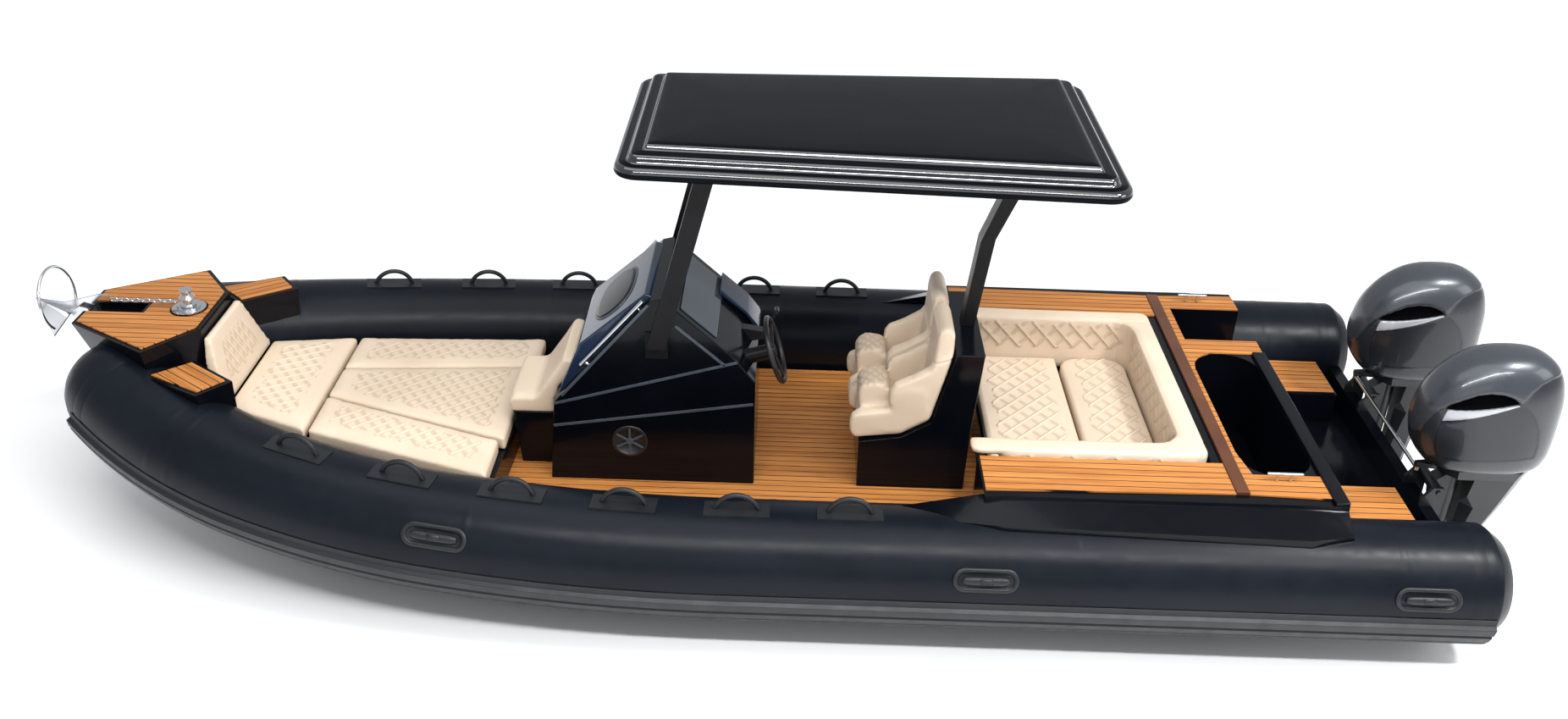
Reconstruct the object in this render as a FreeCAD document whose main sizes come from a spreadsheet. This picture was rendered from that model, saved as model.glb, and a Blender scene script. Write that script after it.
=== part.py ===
"""Rigid inflatable boat, 7.6 m on the tubes, with console, hardtop and twin outboards.

The frame is +X to the bow, +Y to port, +Z up, with the origin on the centreline
amidships at the waterline. All lengths are millimetres.
"""
import FreeCAD
import Part
import math
import os
from FreeCAD import Vector

doc = FreeCAD.newDocument("inflatable_boat")

# Driving dimensions
SIZES = {
    "tube_radius": 295, "tube_half_gap": 1200, "tube_height": 420, "tube_aft": -3520,
    "tube_bend_start": 300, "tube_end_radius": 235, "tube_end_depth": 80, "tube_tilt": 20,
    "strake_depth": 32, "end_pad_radius": 205, "end_pad_depth": 45,
    "handle_pitch": 565, "handle_first": -335, "handle_length": 220, "handle_rise": 85, "handle_bar": 26,
    "hull_aft": -3530, "transom_thick": 70, "floor_level": 290, "teak_thick": 10,
    "bow_deck_level": 1090, "bow_deck_foot": 640, "bow_step_level": 960,
    "console_half_width": 390, "post_half_width": 380, "panel_gap": 5,
    "wheel_radius": 178, "wheel_rim": 15, "wheel_lean": 18,
    "roof_level": 2240, "roof_lip": 60, "roof_tier": 42, "roof_corner": 130,
    "front_leg_width": 50, "front_leg_depth": 95, "rear_leg_width": 110, "rear_leg_depth": 75,
    "stern_level": 815, "stern_front": -1000, "stern_aft": -2820, "stern_half_width": 1150,
    "sofa_front": -960, "sofa_aft": -2215, "sofa_half_width": 800, "sofa_roll": 135, "sofa_top": 870,
    "sofa_seat_level": 600, "sofa_seat_thick": 90, "sofa_seat_split": -1662, "sofa_corner": 260,
    "strip_x": -2305, "strip_width": 70, "beam_width": 72,
    "platform_level": 485, "platform_aft": -3370, "pad_inner": 500, "pad_outer": 880,
    "engine_half_gap": 487, "tilt_x": -3545, "tilt_z": 540, "steer_x": -3650, "transom_top": 450,
    "propeller_radius": 185, "propeller_x": -4055, "propeller_z": -445, "blade_count": 3,
    "tie_bar_x": -3450, "tie_bar_z": 622, "tie_bar_radius": 11, "tie_pin_radius": 6,
    "windlass_x": 3360, "windlass_radius": 62, "drum_radius": 42, "chain_wire": 9, "chain_pitch": 30,
}
sheet = doc.addObject("Spreadsheet::Sheet", "sizes")
for row, (name, value) in enumerate(SIZES.items(), start=1):
    sheet.set("A%d" % row, name)
    sheet.set("B%d" % row, str(value))
    sheet.setAlias("B%d" % row, name)
doc.recompute()


def size(name):
    """A driving dimension, read from the sheet."""
    return float(sheet.get(name))


solids = []


def part(label, shape):
    """One subcomponent whose shape is worked out here from the sheet's values."""
    item = doc.addObject("Part::Feature", label)
    item.Label = label
    item.Shape = shape
    solids.append(item)
    return item


def body_pad(label, plane, outline, length, places=(0, 0, 0)):
    """A body with one sketch of straight lines, padded both ways by the sheet's value."""
    body = doc.addObject("PartDesign::Body", label)
    body.Label = label
    sketch = body.newObject("Sketcher::SketchObject", label + "_outline")
    origin = [f for f in body.Origin.OriginFeatures if f.Role == plane][0]
    sketch.AttachmentSupport = [(origin, "")]
    sketch.MapMode = "FlatFace"
    closed = list(outline) + [outline[0]]
    for (a, b), (c, d) in zip(closed, closed[1:]):
        sketch.addGeometry(Part.LineSegment(Vector(a, b, 0), Vector(c, d, 0)))
    pad = body.newObject("PartDesign::Pad", label + "_pad")
    pad.Profile = sketch
    pad.Midplane = True
    pad.setExpression("Length", length)
    sketch.Visibility = False
    solids.append(body)
    return body


def polygon(points):
    return Part.makePolygon([Vector(*p) for p in points] + [Vector(*points[0])])


def prism(points, along):
    """A straight solid from a flat outline of points."""
    return Part.Face(polygon(points)).extrude(Vector(*along))


def slab(outline, low, high):
    """A flat plate from (x, y) points between two levels."""
    return prism([(x, y, low) for x, y in outline], (0, 0, high - low))


def side_plate(outline, low, high):
    """A plate from (x, z) points between two distances to port."""
    return prism([(x, low, z) for x, z in outline], (0, high - low, 0))


def loft(sections):
    """A ruled solid through outlines that have the same number of points."""
    return Part.makeLoft([polygon(s) for s in sections], True, True)


def mirrored(shape):
    """The same shape on the other side of the centreline."""
    return shape.mirror(Vector(0, 0, 0), Vector(0, 1, 0))


def fused(shapes):
    first, rest = shapes[0], shapes[1:]
    return first.fuse(rest).removeSplitter() if rest else first


def rounded(outline, radius, low, high):
    """A flat plate whose upright edges are rounded."""
    plate = slab(outline, low, high)
    edges = [e for e in plate.Edges if abs(e.tangentAt(e.FirstParameter).z) > 0.99]
    return plate.makeFillet(radius, edges)


def rod(start, end, radius):
    a, b = Vector(*start), Vector(*end)
    return Part.makeCylinder(radius, (b - a).Length, a, b - a)


# Buoyancy tubes: a level straight run, then three arcs in a plane that leans inboard and up.
# Each arc is (radius, heading at its end in degrees).
TUBE_ARCS = [(10000, 8), (5000, 20), (2900, 42)]
RADIUS = size("tube_radius")
LEAN = math.radians(size("tube_tilt"))
INBOARD = Vector(0, -math.cos(LEAN), math.sin(LEAN))
UPRIGHT = Vector(0, math.sin(LEAN), math.cos(LEAN))
TUBE_START = Vector(size("tube_aft"), size("tube_half_gap"), size("tube_height"))


def tube_point(along, inboard):
    return Vector(along, TUBE_START.y, TUBE_START.z) + INBOARD * inboard


def tube_edges():
    """The port tube's centre line as joined straight and arc edges, and its end place and heading."""
    edges = [Part.makeLine(TUBE_START, tube_point(size("tube_bend_start"), 0))]
    along, inboard, heading = size("tube_bend_start"), 0.0, 0.0
    for radius, end in TUBE_ARCS:
        turn = math.radians(end)
        steps = [heading + (turn - heading) * share for share in (0, 0.5, 1)]
        points = [tube_point(along + radius * (math.sin(t) - math.sin(heading)),
                             inboard + radius * (math.cos(heading) - math.cos(t))) for t in steps]
        edges.append(Part.Arc(*points).toShape())
        along += radius * (math.sin(turn) - math.sin(heading))
        inboard += radius * (math.cos(heading) - math.cos(turn))
        heading = turn
    return edges, tube_point(along, inboard), heading


TUBE_LINE, NOSE, NOSE_HEADING = tube_edges()


def place_on_tube(x):
    """Centre of the port tube's section at this length, and the heading there."""
    if x <= size("tube_bend_start"):
        return tube_point(x, 0), 0.0
    along, inboard, heading = size("tube_bend_start"), 0.0, 0.0
    for radius, end in TUBE_ARCS:
        turn = math.radians(end)
        reach = along + radius * (math.sin(turn) - math.sin(heading))
        if x <= reach:
            here = math.asin(math.sin(heading) + (x - along) / radius)
            return tube_point(x, inboard + radius * (math.cos(heading) - math.cos(here))), here
        inboard += radius * (math.cos(heading) - math.cos(turn))
        along, heading = reach, turn
    return NOSE, NOSE_HEADING


def swept(section):
    """A closed section at the tube's aft end, carried along the tube's line."""
    shell = Part.BRepOffsetAPI.MakePipeShell(Part.Wire(TUBE_LINE))
    shell.setBiNormalMode(UPRIGHT)
    shell.add(section)
    shell.build()
    shell.makeSolid()
    return shell.shape()


def section_point(angle, radius):
    """A point of the aft section; the angle is up from straight outboard, in degrees."""
    turn = math.radians(angle)
    return TUBE_START + Vector(0, radius * math.cos(turn), radius * math.sin(turn))


ring = Part.Wire(Part.makeCircle(RADIUS, TUBE_START, Vector(1, 0, 0)))
tube = swept(ring)
nose = Part.makeSphere(RADIUS, NOSE)
aft_cap = Part.makeCone(RADIUS, size("tube_end_radius"), size("tube_end_depth"), TUBE_START, Vector(-1, 0, 0))
tube = fused([tube, nose, aft_cap])
part("tube_port", tube)
part("tube_starboard", mirrored(tube))
TUBES = Part.makeCompound([tube, mirrored(tube)])

# Rub strake: a ribbed band bonded to the outer side, as (angle, height over the tube).
STRAKE = [(-2, 6), (-8, 10), (-10, 32), (-18, 32), (-20, 20), (-22, 32), (-30, 32), (-32, 20), (-34, 30),
          (-42, 26), (-46, 4)]
outer = [section_point(angle, RADIUS + rise) for angle, rise in STRAKE]
inner_arc = Part.Arc(section_point(STRAKE[-1][0], RADIUS), section_point(-24, RADIUS), section_point(STRAKE[0][0], RADIUS))
strake_edges = [Part.makeLine(a, b) for a, b in zip(outer, outer[1:])]
strake_edges = [Part.makeLine(section_point(STRAKE[0][0], RADIUS), outer[0])] + strake_edges
strake_edges += [Part.makeLine(outer[-1], section_point(STRAKE[-1][0], RADIUS)), inner_arc.toShape()]
strake = swept(Part.Wire(strake_edges))
part("rub_strakes", Part.makeCompound([strake, mirrored(strake)]))

# Teak pads on the tubes' aft caps: shallow domes.
cap_x = size("tube_aft") - size("tube_end_depth")
pad_radius, pad_depth = size("end_pad_radius"), size("end_pad_depth")
dome_radius = (pad_radius ** 2 + pad_depth ** 2) / (2 * pad_depth)
dome = Part.makeSphere(dome_radius, Vector(cap_x - pad_depth + dome_radius, TUBE_START.y, TUBE_START.z))
dome = dome.common(Part.makeCylinder(pad_radius, pad_depth + 1, Vector(cap_x, TUBE_START.y, TUBE_START.z), Vector(-1, 0, 0)))
part("tube_end_pads", Part.makeCompound([dome, mirrored(dome)]))

# Carrying handles on top of the tubes: a flexible strap loop on a bonded patch.
handles = []
for number in range(6):
    x = size("handle_first") + number * size("handle_pitch")
    centre, heading = place_on_tube(x)
    forward = Vector(math.cos(heading), 0, 0) + INBOARD * math.sin(heading)
    half = size("handle_length") / 2
    top = centre + Vector(0, 0, RADIUS)
    bar = size("handle_bar")
    start, crown, end = top - forward * half, top + Vector(0, 0, size("handle_rise")), top + forward * half
    spine = Part.Wire(Part.Arc(start, crown, end).toShape())
    circle = Part.Wire(Part.makeCircle(bar / 2, start, spine.Edges[0].tangentAt(spine.Edges[0].FirstParameter)))
    loop = spine.makePipeShell([circle], True, True)
    across = forward.cross(Vector(0, 0, 1))
    corners = [top + forward * a + across * b - Vector(0, 0, 30) for a, b in ((-165, -60), (165, -60), (165, 60), (-165, 60))]
    patch = Part.Face(Part.makePolygon(corners + [corners[0]])).extrude(Vector(0, 0, 34))
    loop = loop.fuse(patch).cut(tube)
    handles += [loop, mirrored(loop)]
part("tube_handles", Part.makeCompound(handles))

# Hull: keel, chine and top edge at each station, as (x, keel z, chine y, chine z, top y, top z).
FLOOR = size("floor_level")
STATIONS = [(size("hull_aft"), -420, 900, -40, 1010, FLOOR), (0, -420, 900, -40, 1010, FLOOR),
            (1500, -405, 850, 10, 960, FLOOR), (2300, -350, 660, 110, 860, FLOOR), (2900, -210, 430, 230, 640, 380),
            (3400, 60, 240, 420, 400, 560), (3780, 430, 90, 560, 160, 680)]


def station(x, keel, chine_y, chine_z, top_y, top_z):
    half = [(x, chine_y, chine_z), (x, top_y, top_z)]
    return [(x, 0, keel)] + half + [(x, -y, z) for x, y, z in reversed(half)]


hull = loft([station(*s) for s in STATIONS])
transom_z = size("transom_top")
transom_front = size("hull_aft") + size("transom_thick")
transom = slab([(size("hull_aft"), 930), (transom_front, 930), (transom_front, -930), (size("hull_aft"), -930)],
               FLOOR - 10, transom_z)
hull = fused([hull, transom]).cut(TUBES)
part("hull", hull)

# Cockpit floor teak, cut to the inside of the tubes.
floor_teak = slab([(1560, 640), (1560, -640), (1000, -900), (-1140, -905), (-1140, 905), (1000, 900)], FLOOR, FLOOR + size("teak_thick"))

# Bow deck: black moulding with a slot for the anchor roller, and steps on both sides.
DECK = size("bow_deck_level")
FOOT = size("bow_deck_foot")
BOW_TOP = [(3930, 200), (3430, 495), (3216, 220), (3216, -220), (3430, -495), (3930, -200)]
BOW_FOOT = [(3800, 120), (3400, 420), (3190, 215), (3190, -215), (3400, -420), (3800, -120)]
STEP_TOP = [(3430, 520), (3227, 340), (2945, 540), (3080, 700)]
STEP_FOOT = [(3400, 430), (3200, 330), (2960, 520), (3060, 600)]
bow_block = loft([[(x, y, FOOT) for x, y in BOW_FOOT], [(x, y, DECK) for x, y in BOW_TOP]])
step = loft([[(x, y, FOOT - 100) for x, y in STEP_FOOT], [(x, y, size("bow_step_level")) for x, y in STEP_TOP]])
slot = slab([(3610, 55), (3940, 55), (3940, -55), (3610, -55)], DECK - 70, DECK + 20)
bow_deck = fused([bow_block, step, mirrored(step)]).cut(slot)
bow_deck = bow_deck.cut(hull).cut(TUBES)
part("bow_deck", bow_deck)


def inset(outline, gap):
    """The outline moved inwards all round."""
    wire = Part.Face(polygon([(x, y, 0) for x, y in outline])).makeOffset2D(-gap)
    return [(v.X, v.Y) for v in wire.OuterWire.OrderedVertexes]


TEAK = size("teak_thick")
bow_teak = slab(inset(BOW_TOP, 25), DECK, DECK + TEAK).cut(slab([(3585, 70), (3990, 70), (3990, -70), (3585, -70)], DECK - 5, DECK + 30))
bow_teak = bow_teak.cut(Part.makeCylinder(size("windlass_radius") + 40, 40, Vector(size("windlass_x"), 0, DECK - 5)))
step_teak = slab(inset(STEP_TOP, 25), size("bow_step_level"), size("bow_step_level") + TEAK)
part("bow_teak", Part.makeCompound([bow_teak, step_teak, mirrored(step_teak)]))

# Bow lounge: a black base with cushions on a plane that rises forward.
LOUNGE_RISE = (660 - 560) / (2610 - 1550.0)


def lounge_top(x):
    return 560 + LOUNGE_RISE * (x - 1550)


CUSHION = 90
base = slab([(3190, 350), (2610, 690), (1570, 800), (1520, -800), (2610, -690), (3190, -350)], FLOOR, 800)
over = prism([(1400, -1000, lounge_top(1400) - CUSHION), (3300, -1000, lounge_top(3300) - CUSHION), (3300, -1000, 1200), (1400, -1000, 1200)], (0, 2000, 0))
base = base.cut(over).cut(hull).cut(TUBES).cut(bow_deck)
part("lounge_base", base)


def cushion(outline):
    """A plain pad on the sloping lounge top."""
    foot = [(x, y, lounge_top(x) - CUSHION + 0.3) for x, y in outline]
    return Part.Face(polygon(foot)).extrude(Vector(0, 0, CUSHION))


part("bow_cushion_front", cushion([(3085, 375), (2615, 525), (2615, -525), (3085, -375)]))
part("bow_cushion_middle", cushion([(2605, 150), (1550, 400), (1550, -400), (2605, -150)]))
part("bow_cushion_port", cushion([(2605, 155), (2605, 525), (1580, 760), (1580, 405)]))
part("bow_cushion_starboard", cushion([(2605, -155), (2605, -525), (1510, -760), (1510, -415)]))
backrest = loft([[(3085, -380, 675), (3085, 380, 675), (3165, 235, 1050), (3165, -235, 1050)],
                 [(3180, -380, 675), (3180, 380, 675), (3210, 235, 1050), (3210, -235, 1050)]])
part("bow_backrest", backrest.cut(bow_deck).cut(TUBES))

# Anchor gear: roller ramp, plough anchor with roll bar, chain and windlass.
ramp = slab([(3620, 35), (3975, 35), (3975, -35), (3620, -35)], DECK - 70, DECK - 64)
cheeks = [side_plate([(3900, DECK - 64), (4010, DECK - 70), (4010, DECK - 20), (3960, DECK + 15), (3900, DECK)], y, y + 5) for y in (-35, 30)]
roller = Part.makeCylinder(24, 60, Vector(3985, -30, DECK - 42), Vector(0, 1, 0))
part("anchor_roller", fused([ramp] + cheeks + [roller]))
SHANK = [(4030, 1066), (3840, 1125), (3800, 1150), (3800, 1128), (3840, 1100), (3975, 1072.5), (4010, 1030), (4200, 1000)]
shank = side_plate([(4205, 1130), (4060, 1110), (3850, 1170), (3800, 1165), (3796.6, 1150), (3796.6, 1126),
                    (3840, 1119.7), (4060, 1049.7), (4100, 1030)], -6, 6)
fluke = loft([[(4215, 0, 1130), (4060, 170, 985), (4040, 0, 1035)], [(4215, 0, 1138), (4060, 175, 993), (4040, 0, 1043)]])
flukes = [fluke, mirrored(fluke)]
hoop = Part.Wire(Part.Arc(Vector(4075, 130, 1010), Vector(4110, 0, 1310), Vector(4075, -130, 1010)).toShape())
hoop_ring = Part.Wire(Part.makeCircle(9, Vector(4075, 130, 1010), hoop.Edges[0].tangentAt(hoop.Edges[0].FirstParameter)))
hoop = hoop.makePipeShell([hoop_ring], True, True)
part("anchor", fused([shank] + flukes + [hoop]))
wire_radius, pitch = size("chain_wire") / 2, size("chain_pitch")


def link(centre, lying):
    """One stadium link of round wire; it lies flat or stands on edge."""
    half = pitch / 2
    width = pitch * 0.32
    side = Vector(0, width, 0) if lying else Vector(0, 0, width)
    run = Vector(half - width / 2, 0, 0)
    corners = [centre + run + side, centre + Vector(half + width / 2, 0, 0), centre + run - side,
               centre - run - side, centre - Vector(half + width / 2, 0, 0), centre - run + side]
    path = Part.Wire([Part.Arc(*corners[:3]).toShape(), Part.makeLine(corners[2], corners[3]),
                      Part.Arc(*corners[3:]).toShape(), Part.makeLine(corners[5], corners[0])])
    circle = Part.Wire(Part.makeCircle(wire_radius, corners[2], Vector(1, 0, 0)))
    start = Part.Wire([path.Edges[1], path.Edges[2], path.Edges[3], path.Edges[0]])
    return start.makePipeShell([circle], True, False)


wx = size("windlass_x")
DRUM = size("drum_radius")
links = []
chain_z = DECK + TEAK + 38
count = int((3800 - (wx + DRUM + 30)) / pitch)
for number in range(count):
    links.append(link(Vector(wx + DRUM + 40 + number * pitch, 0, chain_z), number % 2 == 0))
part("anchor_chain", Part.makeCompound(links))
windlass_base = Part.makeCylinder(size("windlass_radius") + 30, TEAK + 6, Vector(wx, 0, DECK))
windlass_base = fused([windlass_base, Part.makeCylinder(size("windlass_radius"), 16, Vector(wx, 0, DECK + TEAK))])
spindle = Part.makeCylinder(12, 100, Vector(wx, 0, DECK + TEAK))
part("windlass_base", fused([windlass_base, spindle]))
drum_low = DECK + TEAK + 16 + 2
PROFILE = [(12.05, 0), (DRUM, 0), (DRUM, 12), (DRUM - 16, 24), (DRUM - 16, 34), (DRUM, 44), (DRUM + 2, 50), (DRUM - 8, 62),
           (DRUM - 18, 70), (DRUM - 18, 84), (DRUM - 6, 98), (0, 98), (0, 92), (12.05, 92)]
drum = Part.Face(polygon([(wx + r, 0, drum_low + z) for r, z in PROFILE])).revolve(Vector(wx, 0, 0), Vector(0, 0, 1), 360)
part("windlass_drum", drum)

# Console: side profile as (x, z).
CONSOLE = [(1309, FLOOR + TEAK), (1271, 799), (734, 1438), (660, 1458), (591, 1385), (291, 1117), (171, 965), (170, FLOOR + TEAK)]
half_console = size("console_half_width")
console = body_pad("console", "XZ_Plane", CONSOLE, "sizes.console_half_width * 2")

# Front seat on the console: cushion, back and two head rolls.
seat_pad = side_plate([(1290, 640), (1540, 640), (1560, 700), (1540, 740), (1290, 740)], -250, 250)
seat_back = side_plate([(1260, 740), (1400, 740), (1225, 1000), (1100, 975)], -250, 250)
console_seat = fused([seat_pad, seat_back])
seat_base = side_plate([(1275, FLOOR + TEAK), (1500, FLOOR + TEAK), (1530, 639.7), (1275, 639.7)], -240, 240)
part("console_seat_base", seat_base)

doc.recompute()
console_shape = console.Shape
part("console_seat", console_seat.cut(console_shape))
part_cut_base = [s for s in solids if s.Label == "console_seat_base"][0]
part_cut_base.Shape = seat_base.cut(console_shape)

# Handrails beside the console's sloping front.
rails = []
for side in (-1, 1):
    y = side * (half_console - 20)
    rails.append(rod((770, y, 1430), (1115, y, 1030), 11))
    rails.append(rod((800, y, 1395), (785, y, 1375), 9))
    rails.append(rod((1095, y, 1053), (1070, y, 1035), 9))
rails = [fused(rails[:3]), fused(rails[3:])]
part("console_rails", Part.makeCompound([r.cut(console_shape) for r in rails]))

# Helm: column, wheel and throttle on the sloping dash.
lean = math.radians(size("wheel_lean"))
hub = Vector(95, 200, 1060)
aft_up = Vector(-math.cos(lean), 0, math.sin(lean))
column = Part.makeCylinder(42, 150, hub - aft_up * 160, aft_up).cut(console_shape)
stub = Part.makeCylinder(10, 40, hub - aft_up * 12, aft_up)
column = fused([column, stub])
throttle = side_plate([(230, 1000), (110, 1030), (100, 1060), (265, 1085)], -60, 0).cut(console_shape)
lever = rod((135, -30, 1050), (70, -30, 1190), 9)
knob = rod((70, -52, 1190), (70, -8, 1190), 14)
part("helm_column", column)
part("throttle", fused([throttle, lever, knob]))
rim = Part.makeTorus(size("wheel_radius"), size("wheel_rim"), hub + aft_up * 25, aft_up)
bore = Part.makeCylinder(10.05, 60, hub - aft_up * 20, aft_up)
boss = Part.makeCylinder(34, 34, hub - aft_up * 6, aft_up).cut(bore)
across = Vector(0, 1, 0)
up_wheel = aft_up.cross(across)
spokes = []
for number in range(3):
    turn = math.radians(90 + 120 * number)
    out = across * math.cos(turn) + up_wheel * math.sin(turn)
    spokes.append(Part.makeCylinder(9, size("wheel_radius") - 25, hub + aft_up * 14 + out * 25, out + aft_up * 0.06))
part("steering_wheel", fused([rim, boss] + spokes))

# Hardtop in three tiers.
ROOF = [(870, 690), (-1610, 810), (-1610, -810), (870, -690)]
low = size("roof_level")
tiers = [rounded(ROOF, size("roof_corner"), low, low + size("roof_lip"))]
tiers.append(rounded(inset(ROOF, 70), size("roof_corner"), low + size("roof_lip"), low + size("roof_lip") + size("roof_tier")))
tiers.append(rounded(inset(ROOF, 150), size("roof_corner"), low + size("roof_lip") + size("roof_tier"), low + size("roof_lip") + 2 * size("roof_tier")))
part("roof", fused(tiers))

leg = loft([[(750, 391, 1180), (650, 391, 1180), (650, 391 + 50, 1180), (750, 391 + 50, 1180)],
            [(470, 391, low), (370, 391, low), (370, 391 + 50, low), (470, 391 + 50, low)]])
foot = side_plate([(640, 1100), (760, 1100), (760, 1260), (640, 1260)], 390, 398)
leg = fused([leg, foot])
part("roof_legs_front", Part.makeCompound([leg, mirrored(leg)]))

# Leaning post with two helm seats.
POST = [(-410, FLOOR + TEAK), (-405, 600), (-640, 640), (-800, 740), (-905, 1170), (-1055, 1170), (-1020, 680), (-1010, FLOOR + TEAK)]
post = body_pad("leaning_post", "XZ_Plane", POST, "sizes.post_half_width * 2")
rear_half = size("rear_leg_width") / 2
REAR_LEG = [(-955, 1170), (-1025, 1170), (-1090, 1700), (-1310, low), (-1210, low), (-1010, 1685)]
part("roof_leg_rear", side_plate(REAR_LEG, -rear_half, rear_half))
doc.recompute()

SEAT = [(-350, 615), (-345, 690), (-420, 735), (-700, 735), (-760, 800), (-800, 1290), (-850, 1335), (-895, 1290), (-885, 1172),
        (-795, 735), (-640, 645), (-410, 605)]
for label, middle in (("helm_seat_port", 192), ("helm_seat_starboard", -192)):
    part(label, side_plate(SEAT, middle - 185, middle + 185).cut(post.Shape))

# Stern moulding: side decks, sofa pocket, engine well, walkway and transom platform.
STERN = size("stern_level")
half = size("stern_half_width")
aft = size("stern_aft")
front = size("stern_front")
block = slab([(front, half), (aft, half), (aft, -half), (front, -half)], FLOOR, STERN)
pocket = slab([(size("sofa_front") + 100, 805), (size("sofa_aft") - 5, 805), (size("sofa_aft") - 5, -805), (size("sofa_front") + 100, -805)], 505, STERN + 10)
pocket_front = slab([(-1120, 805), (-900, 805), (-900, -805), (-1120, -805)], FLOOR, STERN + 10)
well = rounded([(-2370, 900), (-2745, 900), (-2745, -360), (-2370, -360)], 180, 330, STERN + 10)
walkway = slab([(-2390, -520), (-2390, -920), (aft - 10, -920), (aft - 10, -520)], 560, STERN + 10)
fairing = loft([[(x, 1100, 560), (x, y1, 600), (x, y1, z1), (x, 1100, z2)] for x, y1, z1, z2 in
                ((-600, 1180, 690, 700), (-1100, 1290, 730, 810), (-2600, 1330, 730, 810), (-2820, 1280, 720, 810))])
platform_in, platform_aft = size("pad_inner") - 12, size("platform_aft")
platform = slab([(aft + 5, 930), (platform_aft, 930), (platform_aft, platform_in), (aft + 5, platform_in)], FLOOR, size("platform_level"))
stern = fused([block, fairing, mirrored(fairing)]).cut(pocket).cut(pocket_front).cut(well).cut(walkway)
stern = fused([stern, platform, mirrored(platform)]).cut(TUBES).cut(hull)
part("stern_deck", stern)
part("floor_teak", floor_teak.cut(TUBES).cut(base).cut(stern))

strip_x, strip_half = size("strip_x"), size("strip_width") / 2
decking = slab([(-1010, 1110), (strip_x + strip_half, 1080), (strip_x + strip_half, 812), (-1010, 812)], STERN, STERN + TEAK)
aft_decking = slab([(strip_x - strip_half, 1080), (aft + 75, 1100), (aft + 75, 905), (-2400, 905), (-2365, 700), (-2365, 300), (-2365, -180), (-2500, -365),
                    (aft + 75, -365), (aft + 5, -365), (aft + 5, -515), (-2385, -515), (-2385, -925), (aft + 5, -925), (aft + 5, -1100), (strip_x - strip_half, -1080)], STERN, STERN + TEAK)
aft_decking = aft_decking.cut(well)
pad = slab([(aft - 10, 875), (platform_aft + 12, 875), (platform_aft + 12, size("pad_inner")), (aft - 10, size("pad_inner"))],
           size("platform_level"), size("platform_level") + TEAK)
pads = [pad.cut(TUBES), mirrored(pad.cut(TUBES))]
part("stern_teak", Part.makeCompound([decking, mirrored(decking), aft_decking] + pads))
part("cross_strip", slab([(strip_x + strip_half - 1, 1080), (strip_x - strip_half + 1, 1080), (strip_x - strip_half + 1, -1080), (strip_x + strip_half - 1, -1080)], STERN, STERN + TEAK + 8))
part("transom_beam", slab([(aft, half), (aft + 74, half), (aft + 74, -365), (aft, -365)], STERN, STERN + 22))

# Sofa: a U-shaped back roll round two seat cushions.
outer_half = size("sofa_half_width")
inner_half = outer_half - size("sofa_roll")
outer_back = rounded([(size("sofa_front"), outer_half), (size("sofa_aft"), outer_half), (size("sofa_aft"), -outer_half), (size("sofa_front"), -outer_half)], 60, 505.3, size("sofa_top"))
inner_back = rounded([(size("sofa_front") + 300, inner_half), (size("sofa_aft") + size("sofa_roll"), inner_half), (size("sofa_aft") + size("sofa_roll"), -inner_half), (size("sofa_front") + 300, -inner_half)], 120, 400, 1000)
sofa_back = outer_back.cut(inner_back)
front_trim = slab([(-900, 1000), (-1122, 1000), (-1122, -1000), (-900, -1000)], 400, 812)
part("sofa_back", sofa_back.cut(front_trim))
split = size("sofa_seat_split")
seat_half = inner_half - 5
part("sofa_seat_front", slab([(-1125, seat_half), (split + 3, seat_half), (split + 3, -seat_half), (-1125, -seat_half)], 505.3, 600))
part("sofa_seat_aft", rounded([(split - 3, seat_half), (size("sofa_aft") + size("sofa_roll") + 5, seat_half), (size("sofa_aft") + size("sofa_roll") + 5, -seat_half), (split - 3, -seat_half)], 118, 505.3, 600))

# Mooring cleats.
cleats = []
for x, y in ((-2540, 960), (-2540, -1010)):
    bar = rod((x - 90, y, STERN + TEAK + 45), (x + 90, y, STERN + TEAK + 45), 9)
    legs = [rod((x + dx, y, STERN + TEAK), (x + dx, y, STERN + TEAK + 45), 8) for dx in (-35, 35)]
    cleats.append(fused([bar] + legs))
part("cleats", Part.makeCompound(cleats))

# Outboards: a clamp bracket on the transom, a swivel bracket that tilts, the engine that steers, and its propeller.
tilt_x, tilt_z, steer_x = size("tilt_x"), size("tilt_z"), size("steer_x")
hull_aft = size("hull_aft")
EAR = [(transom_front, transom_z + 0.3), (transom_front, transom_z + 45), (tilt_x + 30, tilt_z + 32), (tilt_x - 25, tilt_z + 28),
       (tilt_x - 30, tilt_z - 40), (hull_aft - 60, 60), (hull_aft - 55, -20), (hull_aft - 0.3, -20), (hull_aft - 0.3, transom_z + 0.3)]
SWIVEL_TOP = tilt_z + 85
SWIVEL_FOOT = 110
PIN = 14


def clamp_bracket(y):
    ears = [side_plate(EAR, y + a, y + a + 22) for a in (-122, 100)]
    pin = rod((tilt_x, y - 132, tilt_z), (tilt_x, y + 132, tilt_z), PIN)
    web = side_plate([(hull_aft - 0.3, 40), (hull_aft - 24, 40), (hull_aft - 24, 300), (hull_aft - 0.3, 300)], y - 100, y + 100)
    return fused(ears + [pin, web])


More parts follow.
